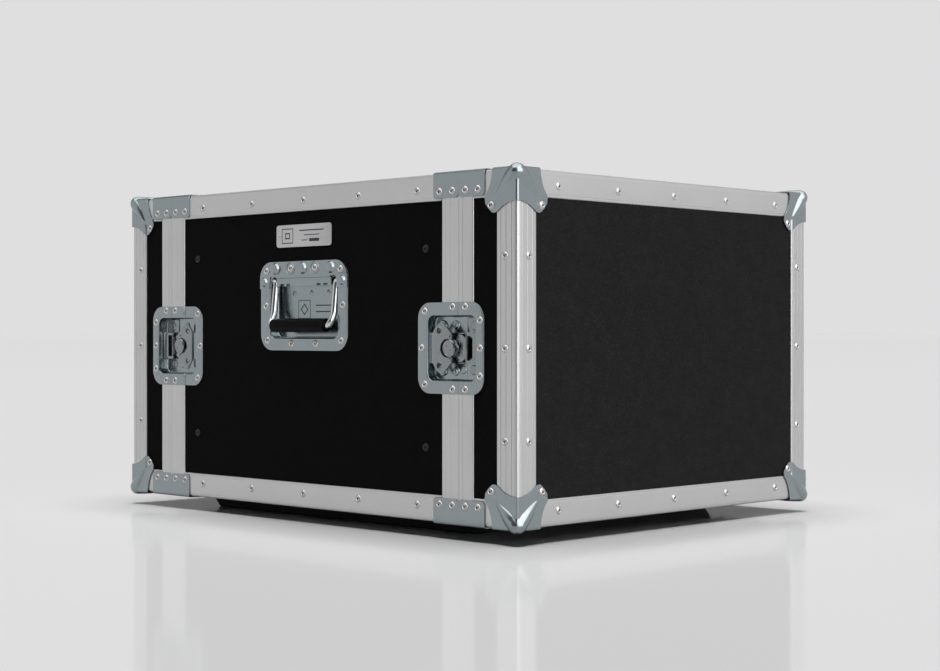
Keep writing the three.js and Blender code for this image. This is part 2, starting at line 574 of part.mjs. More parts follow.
const latch = Object.fromEntries(Object.entries(latchPieces()).map(([name, body]) => [name, surface(body)]));
const strip = surface(rackStrip());
const corner = surface(ballCorner());
for (const [endName, y] of ENDS) {
  for (const [sideName, x] of SIDES) {
    const moving = Object.keys(latch).map((piece) => mesh(`${endName}_${sideName}_latch_${piece}`, latch[piece],
      piece === 'rotor' || piece === 'wing' || piece === 'hook' ? 'brightSteel' : 'zincSteel'));
    rackCase.add(mirrored(x, y, mesh(`rack_strip_${endName}_${sideName}`, strip, 'stripSteel'), ...moving));
    for (const [levelName, z, height] of [['top', -1, TOP], ['bottom', 1, BOTTOM]]) {
      const piece = mesh(`${endName}_ball_corner_${levelName}_${sideName}`, corner, 'zincSteel');
      piece.position.set(-x * HALF_WIDTH, y * FACE_Y, height);
      piece.scale.set(x, y, z);
      rackCase.add(piece);
    }
  }
}

export default rackCase;
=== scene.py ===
"""The visible model of the equipment rack case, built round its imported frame."""
import json
import math

import bmesh
import bpy
import numpy as np
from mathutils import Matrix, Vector
from mathutils.geometry import tessellate_polygon

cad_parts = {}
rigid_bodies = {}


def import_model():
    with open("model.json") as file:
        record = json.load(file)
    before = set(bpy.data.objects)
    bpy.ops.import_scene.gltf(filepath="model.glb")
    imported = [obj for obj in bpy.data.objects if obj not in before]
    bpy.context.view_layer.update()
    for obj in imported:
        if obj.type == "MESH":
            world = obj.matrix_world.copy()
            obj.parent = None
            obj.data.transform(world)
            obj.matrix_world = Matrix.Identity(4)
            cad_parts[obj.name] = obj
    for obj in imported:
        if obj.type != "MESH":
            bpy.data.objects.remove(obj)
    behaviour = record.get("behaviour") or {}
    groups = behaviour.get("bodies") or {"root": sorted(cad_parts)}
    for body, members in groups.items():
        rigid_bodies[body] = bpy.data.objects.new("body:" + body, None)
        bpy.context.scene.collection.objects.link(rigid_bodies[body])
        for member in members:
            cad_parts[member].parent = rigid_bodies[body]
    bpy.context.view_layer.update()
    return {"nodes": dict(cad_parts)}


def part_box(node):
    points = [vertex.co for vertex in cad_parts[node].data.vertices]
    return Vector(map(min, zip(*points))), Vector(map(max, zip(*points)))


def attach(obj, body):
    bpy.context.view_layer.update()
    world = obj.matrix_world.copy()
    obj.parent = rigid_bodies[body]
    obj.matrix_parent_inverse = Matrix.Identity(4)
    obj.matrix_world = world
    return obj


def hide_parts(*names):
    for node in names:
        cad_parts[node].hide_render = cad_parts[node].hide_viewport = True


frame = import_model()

MM = 0.001

# ---- places, in millimetres, read from the frame ----


def node_box(node):
    low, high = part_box(node)
    return [c / MM for c in low], [c / MM for c in high]


edge_low, edge_high = node_box("front_lid_edge")
HALF_WIDTH, FACE_Y, BOTTOM, TOP = edge_high[0], edge_low[1], edge_low[2], edge_high[2]
MIDDLE = (BOTTOM + TOP) / 2
dish_low, dish_high = node_box("front_left_latch_dish")
keeper_low, keeper_high = node_box("front_left_latch_keeper")
SEAM_Y = (dish_low[1] + keeper_high[1]) / 2
SEAM_GAP = 0.15
hook_low, hook_high = node_box("front_left_latch_hook")
rotor_low, rotor_high = node_box("front_left_latch_rotor")
KNOB_Y = (rotor_low[1] + rotor_high[1]) / 2
handle_low, handle_high = node_box("left_handle_dish")
plate_low, plate_high = node_box("nameplate")
BODY_FLANGE_Y = node_box("body_edge_angle_top_left")[0][1] - 0.3
LID_FLANGE_Y = edge_high[1] + 0.3
PANEL_X = -node_box("body_left_panel")[0][0]

ENDS = (("front", 1), ("rear", -1))
SIDES = (("left", 1), ("right", -1))
LEVELS = (("top", 1), ("bottom", -1))

# ---- shader kit ----


class Value:
    """A socket of a node tree. Arithmetic on it adds Math nodes."""

    def __init__(self, graph, socket):
        self.graph = graph
        self.socket = socket

    def math(self, operation, first, second):
        return self.graph.add("ShaderNodeMath", {"operation": operation}, [first, second])

    def __add__(self, other):
        return self.math("ADD", self, other)

    def __radd__(self, other):
        return self.math("ADD", other, self)

    def __sub__(self, other):
        return self.math("SUBTRACT", self, other)

    def __rsub__(self, other):
        return self.math("SUBTRACT", other, self)

    def __mul__(self, other):
        return self.math("MULTIPLY", self, other)

    def __rmul__(self, other):
        return self.math("MULTIPLY", other, self)

    def above(self, edge):
        return self.math("GREATER_THAN", self, edge)

    def below(self, edge):
        return self.math("LESS_THAN", self, edge)


class Graph:
    """A node tree, and the one way in which nodes are added to it."""

    def __init__(self, tree):
        self.tree = tree

    def add(self, kind, settings, inputs=(), output=0):
        node = self.tree.nodes.new(kind)
        for name, setting in settings.items():
            if name == "stops":
                self.set_stops(node.color_ramp, setting)
            else:
                setattr(node, name, setting)
        pairs = inputs.items() if isinstance(inputs, dict) else enumerate(inputs)
        for key, value in pairs:
            if isinstance(value, Value):
                self.tree.links.new(value.socket, node.inputs[key])
            else:
                node.inputs[key].default_value = value
        return Value(self, node.outputs[output])

    @staticmethod
    def set_stops(ramp, stops):
        while len(ramp.elements) < len(stops):
            ramp.elements.new(1.0)
        for element, (place, grey) in zip(ramp.elements, stops):
            element.position = place
            element.color = (grey, grey, grey, 1.0)

    def place(self, scale=(1, 1, 1)):
        coordinates = self.add("ShaderNodeTexCoord", {}, output="Object")
        return self.add("ShaderNodeMapping", {}, {"Vector": coordinates, "Scale": scale})

    def noise(self, scale, detail=2.0, stretch=(1, 1, 1)):
        return self.add("ShaderNodeTexNoise", {}, {"Vector": self.place(stretch), "Scale": scale,
                                                   "Detail": detail})

    def blend(self, factor, first, second):
        node = self.tree.nodes.new("ShaderNodeMix")
        node.data_type = "RGBA"
        colours = [s for s in node.inputs if s.type == "RGBA"]
        self.feed(node.inputs[0], factor)
        self.feed(colours[0], first)
        self.feed(colours[1], second)
        return Value(self, [s for s in node.outputs if s.type == "RGBA"][0])

    def feed(self, socket, value):
        if isinstance(value, Value):
            self.tree.links.new(value.socket, socket)
        else:
            socket.default_value = value

    def bump(self, height, strength, distance):
        return self.add("ShaderNodeBump", {}, {"Height": height, "Strength": strength, "Distance": distance})


def rgb(red, green=None, blue=None):
    if green is None:
        green = blue = red
    return (red, green, blue, 1.0)


def finish_material(name, metallic=0.0, roughness=0.5, specular=0.5, **varying):
    """A Principled material: plain numbers on its own sockets, and what varies from the paint function."""
    material = bpy.data.materials.new(name)
    material.use_nodes = True
    shader = material.node_tree.nodes["Principled BSDF"]
    shader.inputs["Metallic"].default_value = metallic
    shader.inputs["Roughness"].default_value = roughness
    shader.inputs["Specular IOR Level"].default_value = specular
    graph = Graph(material.node_tree)
    paint = varying["paint"]
    for socket, value in paint(graph).items():
        graph.feed(shader.inputs[socket], value)
    return material


# ---- materials ----


def extruded_aluminium(name, along):
    """Satin extrusion: die lines run along one axis, with a faint cloudiness across them."""
    stretch = [400.0, 400.0, 400.0]
    stretch[along] = 1.5

    def paint(graph):
        lines = graph.noise(1.0, 3.0, stretch)
        cloud = graph.noise(14.0, 2.0)
        shade = lines * 0.35 + cloud * 0.65
        return {
            "Base Color": graph.blend(shade, rgb(0.53, 0.53, 0.533), rgb(0.615, 0.615, 0.618)),
            "Roughness": 0.27 + lines * 0.14,
            "Normal": graph.bump(lines, 0.10, 0.0002),
        }

    return finish_material(name, metallic=1.0, roughness=0.33, paint=paint)


def zinc_plated_steel(name, dark, light, roughness, grain=0.05):
    """Zinc plate over pressed steel: a faint mottle, and roughness that wanders with it."""
    def paint(graph):
        mottle = graph.noise(220.0, 3.0)
        cloud = graph.noise(25.0, 2.0)
        shade = mottle * 0.12 + cloud * 0.88
        return {
            "Base Color": graph.blend(shade, rgb(*dark), rgb(*light)),
            "Roughness": roughness - 0.02 + cloud * 0.04,
            "Normal": graph.bump(graph.noise(900.0, 2.0), grain, 0.0001),
        }

    return finish_material(name, metallic=1.0, roughness=roughness, paint=paint)


def black_laminate():
    """Phenolic laminate: a fine pebbled grain with pale flecks."""
    def paint(graph):
        pebble = graph.noise(1100.0, 2.0)
        fleck = graph.add("ShaderNodeValToRGB", {"stops": [(0.52, 0.0), (0.75, 1.0)]},
                          [graph.noise(520.0, 3.0)])
        cloud = graph.noise(60.0, 3.0)
        worn = fleck * 0.55 + cloud * 0.3
        return {
            "Base Color": graph.blend(worn, rgb(0.0036), rgb(0.0108)),
            "Roughness": 0.52 + cloud * 0.16,
            "Normal": graph.bump(pebble, 0.35, 0.0004),
        }

    return finish_material("black_laminate", specular=0.012, paint=paint)


def matt_black(name, grey, roughness, grain_scale, grain, specular=0.3):
    """Black board, screw or moulded grip: one dark tone with its own grain."""
    def paint(graph):
        speck = graph.noise(grain_scale, 3.0)
        return {
            "Base Color": graph.blend(speck, rgb(grey * 0.7), rgb(grey * 1.4)),
            "Roughness": roughness - 0.06 + speck * 0.12,
            "Normal": graph.bump(speck, grain, 0.0003),
        }

    return finish_material(name, specular=specular, paint=paint)


def printed_plate():
    """Brushed plate with a frame, a few rules and a solid bar printed on it."""
    low_y, high_y = plate_low[1] * MM, plate_high[1] * MM
    low_z, high_z = plate_low[2] * MM, plate_high[2] * MM
    width, height = high_y - low_y, high_z - low_z

    def paint(graph):
        place = graph.add("ShaderNodeTexCoord", {}, output="Object")
        along = graph.add("ShaderNodeSeparateXYZ", {}, [place], output="Y")
        up = graph.add("ShaderNodeSeparateXYZ", {}, [place], output="Z")

        def patch(from_right, to_right, from_low, to_low):
            start, stop = high_y - to_right * width, high_y - from_right * width
            floor, roof = low_z + from_low * height, low_z + to_low * height
            return along.above(start) * along.below(stop) * up.above(floor) * up.below(roof)

        frame_line = patch(0.1, 0.31, 0.16, 0.84) - patch(0.112, 0.298, 0.205, 0.795)
        diamond = patch(0.16, 0.25, 0.36, 0.64) - patch(0.175, 0.235, 0.42, 0.58)
        rules = patch(0.42, 0.86, 0.70, 0.755) + patch(0.50, 0.78, 0.50, 0.54)
        bar = patch(0.60, 0.78, 0.22, 0.36) + patch(0.46, 0.57, 0.27, 0.31)
        ink = frame_line + diamond + rules + bar
        brush = graph.noise(1.0, 3.0, (400.0, 2.0, 900.0))
        metal = graph.blend(brush, rgb(0.50, 0.50, 0.505), rgb(0.60, 0.60, 0.605))
        return {
            "Base Color": graph.blend(ink, metal, rgb(0.02, 0.02, 0.03)),
            "Metallic": 1.0 - ink * 0.9,
            "Roughness": 0.32 + brush * 0.1,
            "Normal": graph.bump(brush, 0.06, 0.0001),
        }

    return finish_material("printed_plate", paint=paint)


ALUMINIUM = [extruded_aluminium(f"aluminium_along_{letter}", index) for index, letter in enumerate("xyz")]
STEEL = zinc_plated_steel("zinc_steel", (0.294, 0.330, 0.345), (0.318, 0.357, 0.373), 0.20, 0.0)
BRIGHT = zinc_plated_steel("bright_zinc_steel", (0.262, 0.280, 0.287), (0.284, 0.304, 0.311), 0.15, 0.0)
POLISHED = zinc_plated_steel("polished_rod", (0.60, 0.62, 0.63), (0.66, 0.68, 0.69), 0.10, 0.0)
STRIP = zinc_plated_steel("strip_steel", (0.34, 0.36, 0.37), (0.42, 0.44, 0.45), 0.38)
RIVET = zinc_plated_steel("rivet_aluminium", (0.50, 0.485, 0.475), (0.58, 0.565, 0.555), 0.30)
# Near-black finish: the rivets' mandrel ends are real, but this dark is painted shade of the holes they sit
# in; the knob's two dots take it too.
MANDREL_AND_HOLE_SHADE = zinc_plated_steel("mandrel_painted_dark_as_hole_shade", (0.04, 0.04, 0.042), (0.08, 0.08, 0.085), 0.45)
LAMINATE = black_laminate()
BOARD = matt_black("painted_board", 0.006, 0.75, 300.0, 0.3)
GRIP = matt_black("moulded_grip", 0.0010, 0.28, 1500.0, 0.05, 0.05)
SCREW = matt_black("black_screw", 0.010, 0.45, 700.0, 0.05)
PLATE = printed_plate()

# ---- mesh kit ----


class Shell:
    """Vertices and faces in millimetres, gathered before they become one piece."""

    def __init__(self):
        self.points = []
        self.faces = []

    def add(self, points, faces):
        start = len(self.points)
        self.points.extend(tuple(p) for p in points)
        self.faces.extend(tuple(start + i for i in face) for face in faces)
        return self

    def merge(self, other):
        return self.add(other.points, other.faces)

    def prism(self, outline, low, high, place, holes=()):
        """A flat piece: its outline and holes in (u, v), thick from low to high, put in the case by place."""
        loops = [list(outline)] + [list(hole) for hole in holes]
        flat = [point for loop in loops for point in loop]
        triangles = tessellate_polygon([[Vector((u, v, 0)) for u, v in loop] for loop in loops])
        count = len(flat)
        points = [place(u, v, low) for u, v in flat] + [place(u, v, high) for u, v in flat]
        faces = [tuple(t) for t in triangles] + [tuple(i + count for i in reversed(t)) for t in triangles]
        start = 0
        for loop in loops:
            size = len(loop)
            for i in range(size):
                a, b = start + i, start + (i + 1) % size
                faces.append((a, b, b + count, a + count))
            start += size
        return self.add(points, faces)

    def loft(self, rings, closed=False, capped=True):
        """Rings of equal length joined one after another; the ends are capped, or joined to each other."""
        size = len(rings[0])
        points = [p for ring in rings for p in ring]
        faces = []
        spans = len(rings) if closed else len(rings) - 1
        for r in range(spans):
            here, there = r * size, (r + 1) % len(rings) * size
            for i in range(size):
                j = (i + 1) % size
                faces.append((here + i, here + j, there + j, there + i))
        if capped and not closed:
            last = (len(rings) - 1) * size
            faces.append(tuple(reversed(range(size))))
            faces.append(tuple(last + i for i in range(size)))
        return self.add(points, faces)

    def lathe(self, profile, place, sides=32):
        """A turned piece, put in the case by place. A profile clear of the axis makes a ring."""
        rings = []
        for radius, height in profile:
            turn = [2 * math.pi * i / sides for i in range(sides)]
            rings.append([place(radius * math.cos(t), radius * math.sin(t), height) for t in turn])
        return self.loft(rings, closed=profile[0][0] > 0)

    def tube(self, path, radius, sides=16):
        """A round bar along a path of points, with square ends."""
        path = [Vector(p) for p in path]
        rings = []
        side = None
        for i, point in enumerate(path):
            ahead = (path[min(i + 1, len(path) - 1)] - path[max(i - 1, 0)]).normalized()
            if side is None:
                side = ahead.orthogonal().normalized()
            side = (side - ahead * side.dot(ahead)).normalized()
            other = ahead.cross(side)
            turns = [2 * math.pi * k / sides for k in range(sides)]
            rings.append([point + (side * math.cos(t) + other * math.sin(t)) * radius for t in turns])
        return self.loft(rings)

    def mirrored(self, x, y, z=1):
        """The same shell on another side, end or level of the case."""
        flipped = Shell()
        points = [(x * px, y * py, pz if z == 1 else BOTTOM + TOP - pz) for px, py, pz in self.points]
        faces = [tuple(reversed(face)) for face in self.faces] if x * y * z < 0 else self.faces
        return flipped.add(points, faces)


def joined(*shells):
    whole = Shell()
    for shell in shells:
        whole.merge(shell)
    return whole


def to_bmesh(shell):
    mesh = bmesh.new()
    vertices = [mesh.verts.new([c * MM for c in p]) for p in shell.points]
    for face in shell.faces:
        if len(set(face)) > 2:
            mesh.faces.new([vertices[i] for i in face])
    bmesh.ops.remove_doubles(mesh, verts=mesh.verts, dist=1e-6)
    bmesh.ops.dissolve_degenerate(mesh, edges=mesh.edges, dist=1e-7)
    bmesh.ops.recalc_face_normals(mesh, faces=mesh.faces)
    return mesh


def shade(mesh, sharp=28.0):
    for face in mesh.faces:
        face.smooth = True
    for edge in mesh.edges:
        bent = len(edge.link_faces) != 2 or edge.calc_face_angle(0.0) > math.radians(sharp)
        edge.smooth = not bent


def with_modifier(thing, kind, **settings):
    """The object's mesh after one modifier, which is then taken off."""
    modifier = thing.modifiers.new(kind.title(), kind)
    for name, setting in settings.items():
        setattr(modifier, name, setting)
    bake_modifiers(thing)


def bake_modifiers(thing):
    bpy.context.view_layer.update()
    evaluated = thing.evaluated_get(bpy.context.evaluated_depsgraph_get())
    made = bpy.data.meshes.new_from_object(evaluated)
    old = thing.data
    thing.modifiers.clear()
    thing.data = made
    bpy.data.meshes.remove(old)


def piece(name, shell, material, body, replaces=(), bevel=0.0, sharp=28.0, prepared=None):
    """One visible piece: its mesh, rounded edges, finish, body and the frame nodes it stands for."""
    mesh = prepared or to_bmesh(shell)
    shade(mesh, sharp)
    data = bpy.data.meshes.new(name)
    mesh.to_mesh(data)
    mesh.free()
    thing = bpy.data.objects.new(name, data)
    bpy.context.scene.collection.objects.link(thing)
    data.materials.append(material)
    if bevel:
        with_modifier(thing, "BEVEL", width=bevel * MM, segments=2, limit_method="ANGLE",
                      angle_limit=math.radians(40), use_clamp_overlap=True)
        again = bmesh.new()
        again.from_mesh(thing.data)
        shade(again, sharp)
        again.to_mesh(thing.data)
        again.free()
    thing.data.name = name
    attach(thing, body)
    if replaces:
        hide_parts(*replaces)
    return thing


def side_place(u, v, level):
    """(along the case, height, distance from the middle plane) on the left side."""
    return (-level, u, v)


def arc(centre, radius, start, stop, steps):
    turns = [math.radians(start + (stop - start) * i / steps) for i in range(steps + 1)]
    return [(centre[0] + radius * math.cos(t), centre[1] + radius * math.sin(t)) for t in turns]


def circle(centre, radius, sides=24):
    return arc(centre, radius, 0, 360, sides)[:-1]


def rectangle(across, up):
    (left, right), (low, high) = across, up
    return [(left, low), (right, low), (right, high), (left, high)]


def rounded_rectangle(u, v, radius, steps=8):
    (u0, u1), (v0, v1) = u, v
    corners = (((u1 - radius, v1 - radius), 0), ((u0 + radius, v1 - radius), 90),
               ((u0 + radius, v0 + radius), 180), ((u1 - radius, v0 + radius), 270))
    return [p for centre, start in corners for p in arc(centre, radius, start, start + 90, steps)]


def rounded_polygon(points, radii, steps=4):
    """A polygon whose corners are rounded, each with its own radius."""
    outline = []
    count = len(points)
    for i, (point, radius) in enumerate(zip(points, radii)):
        corner = Vector(point)
        back = (Vector(points[i - 1]) - corner).normalized()
        ahead = (Vector(points[(i + 1) % count]) - corner).normalized()
        reach = radius / math.tan(max(back.angle(ahead) / 2, 0.05)) if radius else 0
        start, stop = corner + back * reach, corner + ahead * reach
        for k in range(steps + 1 if radius else 1):
            t = k / steps
            outline.append(tuple(start * (1 - t) ** 2 + corner * 2 * t * (1 - t) + stop * t ** 2))
    return outline


# ---- aluminium extrusions ----

SKIN = 1.6
LEG = 30.0
ARRIS = 3.0
CROWN = {"reach": 8.0, "depth": 0.9}
GROOVES_UPRIGHT = (8.0, 16.0, 23.5)


def crown_cut(s):
    """How far the gently crowned face falls back at a distance from the arris."""
    return CROWN["depth"] * max(1 - s / CROWN["reach"], 0) ** 2


def leg_points(grooves, width, depth, start, stop, crowned=True):
    """Places along a leg, and how far its outer face is cut back there; the grooves have steep walls."""
    points = {(s, 0.0) for s in (start, 4.2, 5.4, 6.6, stop) if start <= s <= stop}
    for centre in grooves:
        for inside, share in ((0.0, 0.0), (0.12, 0.8), (0.3, 1.0)):
            for sign in (-1, 1):
                points.add((centre + sign * (width / 2 - inside), depth * share))
    return [(s, cut + (crown_cut(s) if crowned else 0.0)) for s, cut in sorted(points)]


def angle_profile(grooves, width=1.2, depth=0.45, leg=LEG, tip=1.5):
    """An angle's section in insets (a, b) from its two outer faces, with a rounded arris and rounded tips."""
    face = leg_points(grooves, width, depth, ARRIS, leg - tip)
    first = [(cut, s) for s, cut in reversed(face)]
    second = [(s, cut) for s, cut in face]
    start, stop = Vector((crown_cut(ARRIS), ARRIS)), Vector((ARRIS, crown_cut(ARRIS)))
    corner = Vector((0.675, 0.675))
    bend = [tuple(start * (1 - t) ** 2 + corner * 2 * t * (1 - t) + stop * t * t)
            for t in (0.2, 0.35, 0.5, 0.65, 0.8)]
    tip_up = arc((tip, leg - tip), tip, 90, 180, 3)[:-1]
    tip_out = arc((leg - tip, tip), tip, 270, 360, 3)[1:]
    inner = [(leg, SKIN), (SKIN, SKIN), (SKIN, leg)]
    return tip_up + first + bend + second + tip_out + inner


def along_z(side, end):
    return lambda a, b, h: (-side * (HALF_WIDTH - a), end * (FACE_Y + b), h)


def along_x(end, level):
    return lambda a, b, h: (h, end * (FACE_Y + b), height_of(level, a))


def along_y(side, level):
    return lambda a, b, h: (-side * (HALF_WIDTH - a), h, height_of(level, b))


def height_of(level, inset):
    return TOP - inset if level == 1 else BOTTOM + inset


UPRIGHT = angle_profile(GROOVES_UPRIGHT)
PLAIN = angle_profile((27.3,), width=1.8, depth=0.30)


def lid_edging(end_name, end):
    uprights, rails, stubs = Shell(), Shell(), Shell()
    for _, side in SIDES:
        uprights.prism(UPRIGHT, BOTTOM + 1.5, TOP - 1.5, along_z(side, end))
        for _, level in LEVELS:
            ends = sorted([end * (FACE_Y + 30.2), end * (LID_FLANGE_Y - 0.3)])
            stubs.prism(PLAIN, *ends, along_y(side, level))
    for _, level in LEVELS:
        rails.prism(PLAIN, -HALF_WIDTH + LEG + 0.1, HALF_WIDTH - LEG - 0.1, along_x(end, level))
    lid = f"{end_name}_lid"
    piece(f"{end_name}_lid_upright_angles", uprights, ALUMINIUM[2], lid,
          [f"{end_name}_lid_edge"])
    piece(f"{end_name}_lid_level_angles", rails, ALUMINIUM[0], lid)
    piece(f"{end_name}_lid_corner_stubs", stubs, ALUMINIUM[1], lid)


def body_edging():
    for side_name, side in SIDES:
        for level_name, level in LEVELS:
            node = f"body_edge_angle_{level_name}_{side_name}"
            shell = Shell().prism(PLAIN, BODY_FLANGE_Y + 0.3, -BODY_FLANGE_Y - 0.3, along_y(side, level))
            piece(f"{node}_length", shell, ALUMINIUM[1], "case_body", [node])


FRAME_IN = 12.7
LATCH_OPENING = 37.0


def flange_face(inner, outer, grooves, width=1.0, depth=0.12, tip=1.5):
    """The outer face of a hybrid flange, as (inset, y) from its seam edge to its rounded tip."""
    face = leg_points(grooves, width, depth, 0.0, abs(outer - inner) - tip, crowned=False)
    sign = 1 if outer > inner else -1
    points = [(cut, inner + sign * s) for s, cut in face]
    turns = [math.radians(15 * k) for k in range(1, 7)]
    for t in turns:
        points.append((tip - tip * math.cos(t), outer - sign * tip * (1 - math.sin(t))))
    return points


def body_profile():
    """The body's hybrid section: outer flange, web with a tongue, and inner flange."""
    seam = SEAM_Y + SEAM_GAP
    outer = flange_face(seam, BODY_FLANGE_Y, (12.5, 20.0))
    inner = [(SKIN, BODY_FLANGE_Y), (SKIN, seam + 2), (FRAME_IN - SKIN, seam + 2),
             (FRAME_IN - SKIN, SEAM_Y + 14), (FRAME_IN, SEAM_Y + 14), (FRAME_IN, seam)]
    tongue = [(8, seam), (7.6, SEAM_Y - 4), (5.4, SEAM_Y - 4), (5, seam)]
    return outer + inner + tongue


def lid_profile():
    """The lid's hybrid section: outer flange, and a thick web with the groove for the tongue."""
    seam = SEAM_Y - SEAM_GAP
    outer = flange_face(seam, LID_FLANGE_Y, (5.5,))
    inner = [(SKIN, LID_FLANGE_Y), (SKIN, SEAM_Y - 6), (FRAME_IN, SEAM_Y - 6), (FRAME_IN, seam)]
    groove = [(8.4, seam), (8.4, SEAM_Y - 4.4), (4.6, SEAM_Y - 4.4), (4.6, seam)]
    return outer + inner + groove


def hybrid_frame(name, profile, end, body, node):
    """A frame: two lengths on each side of the case, and one along the top and the bottom."""
    uprights, rails = Shell(), Shell()
    for _, side in SIDES:
        for span in ((BOTTOM + 0.8, MIDDLE - LATCH_OPENING), (MIDDLE + LATCH_OPENING, TOP - 0.8)):
            uprights.prism(profile, *span, lambda a, y, h, s=side: (-s * (HALF_WIDTH - a), end * y, h))
    for _, level in LEVELS:
        rails.prism(profile, -HALF_WIDTH + FRAME_IN + 0.1, HALF_WIDTH - FRAME_IN - 0.1,
                    lambda a, y, h, lv=level: (h, end * y, height_of(lv, a)))
    piece(f"{name}_upright_lengths", uprights, ALUMINIUM[2], body, [node])
    piece(f"{name}_level_lengths", rails, ALUMINIUM[0], body)


# ---- steel braces over the long edges ----

BRACE_REACH = 27.5
SEAM_CLEARANCE = SEAM_GAP / 3
BRACE_THICK = 1.2
BRACE_LIFT = 0.2


def brace_half(seam_edge, far_edge, radius):
    """Half of a brace bent over the top left edge, its corners rounded, thick from lift outwards."""
    notch, bend = 3.3, 2.0
    length = abs(far_edge - seam_edge)
    sign = 1 if far_edge > seam_edge else -1

    def width_at(s):
        """Where the plate starts and stops along the case, at a distance from its bent edge."""
        from_tip = BRACE_REACH - s
        far = radius - math.sqrt(max(radius ** 2 - max(radius - from_tip, 0) ** 2, 0))
        near = max(notch - from_tip, 0) * 1.1
        return near, length - far

    around_tip = {BRACE_REACH - (1 - math.cos(math.radians(15 * k))) * radius for k in range(7)}
    stations = sorted(around_tip | {BRACE_REACH - notch}, reverse=True) + [bend + 4]
    rings = []

    def section(lift):
        """Points round the bend: down the side face, round the edge, and in over the top."""
        side_part = [((-HALF_WIDTH - lift, TOP - s), s) for s in stations]
        reach = bend + lift
        around = [((-HALF_WIDTH + bend - reach * math.cos(t), TOP - bend + reach * math.sin(t)), 0.0)
                  for t in [math.radians(15 * k) for k in range(7)]]
        top_part = [((-HALF_WIDTH + s, TOP + lift), s) for s in reversed(stations)]
        return side_part + around + top_part

    outer, inner = section(BRACE_LIFT + BRACE_THICK), section(BRACE_LIFT)
    for (out, s), (back, _) in zip(outer, inner):
        near, far = width_at(s)
        y_near, y_far = seam_edge + sign * near, seam_edge + sign * far
        rings.append([(out[0], y_near, out[1]), (out[0], y_far, out[1]),
                      (back[0], y_far, back[1]), (back[0], y_near, back[1])])
    return Shell().loft(rings)


def braces():
    lid_half = brace_half(SEAM_Y - SEAM_CLEARANCE, FACE_Y + 46.7, 4.6)
    body_half = brace_half(SEAM_Y + SEAM_CLEARANCE, SEAM_Y + 38.2, 3.2)
    for end_name, end in ENDS:
        on_lid, on_body = Shell(), Shell()
        for _, side in SIDES:
            for _, level in LEVELS:
                on_lid.merge(lid_half.mirrored(side, end, level))
                on_body.merge(body_half.mirrored(side, end, level))
        piece(f"{end_name}_lid_braces", on_lid, STEEL, f"{end_name}_lid", bevel=0.0)
        piece(f"{end_name}_body_braces", on_body, STEEL, "case_body", bevel=0.0)


# ---- ball corners ----

BALL_RADIUS = 9.6
BALL_INSET = 4.7
CORNER_SKIN = 1.5
CORNER_EDGE_RADIUS = 2.8
RIDGE = {"start": 12.0, "half": 7.6, "wide_to": 14.0, "length": 31.0, "rise": 3.2, "high_to": 16.0,
         "fall": 30.0}
TAB_STEP = 1.1


def smooth_least(a, b, reach):
    mix = np.clip(0.5 + 0.5 * (b - a) / reach, 0, 1)
    return b * (1 - mix) + a * mix - reach * mix * (1 - mix)


def ridge_distance(along, across, depth):
    """Signed distance to a leaf-shaped ridge along the diagonal of one face, round at its ball end."""
    taper = np.clip((along - RIDGE["wide_to"]) / RIDGE["length"], 0, 1)
    fall = np.clip((along - RIDGE["high_to"]) / RIDGE["fall"], 0, 1)
    half = np.maximum(RIDGE["half"] * (1 - taper ** 1.35), 0.05)
    rise = np.maximum(RIDGE["rise"] * (1 - fall ** 1.5), 0.02)
    radius = (half ** 2 + rise ** 2) / (2 * rise)
    short = np.minimum(along - RIDGE["start"], 0)
    return np.sqrt(across ** 2 + short ** 2 + (depth + CORNER_SKIN + rise - radius) ** 2) - radius


def corner_distance(p):
    """Signed distance to the pressed corner, with all three coordinates running into the case."""
    inset = -CORNER_SKIN + CORNER_EDGE_RADIUS
    outside = np.maximum(inset - p, 0)
    deepest = np.minimum(np.max(inset - p, axis=-1), 0)
    distance = np.linalg.norm(outside, axis=-1) + deepest - CORNER_EDGE_RADIUS
    for turn in range(3):
        u, v, depth = (p[..., (turn + k) % 3] for k in range(3))
        ridge = ridge_distance((u + v) / math.sqrt(2), (u - v) / math.sqrt(2), depth)
        distance = smooth_least(distance, np.where(depth > 8, 50.0, ridge), 0.25)
    ball = np.linalg.norm(p - BALL_INSET, axis=-1) - BALL_RADIUS
    return smooth_least(distance, ball, 1.6)


def corner_reach(turns):
    """The corner plate's edge, as its distance from the arris corner at each turn angle."""
    start, control, waist = np.array([34.9, 0.0]), np.array([35.3, 16.0]), np.array([45.7, 28.4])
    steps = np.linspace(0, 1, 16)[:, None]
    curve = start * (1 - steps) ** 2 + control * 2 * steps * (1 - steps) + waist * steps ** 2
    tab = [(46.6, 30.4), (46.4, 35.9), (41.7, 41.7)]
    half = np.vstack([[(34.9, -CORNER_SKIN)], curve, tab])
    whole = np.vstack([half, half[-2::-1, ::-1]]) + CORNER_SKIN
    angles = np.arctan2(whole[:, 1], whole[:, 0])
    return np.interp(turns, angles, np.hypot(whole[:, 0], whole[:, 1]))


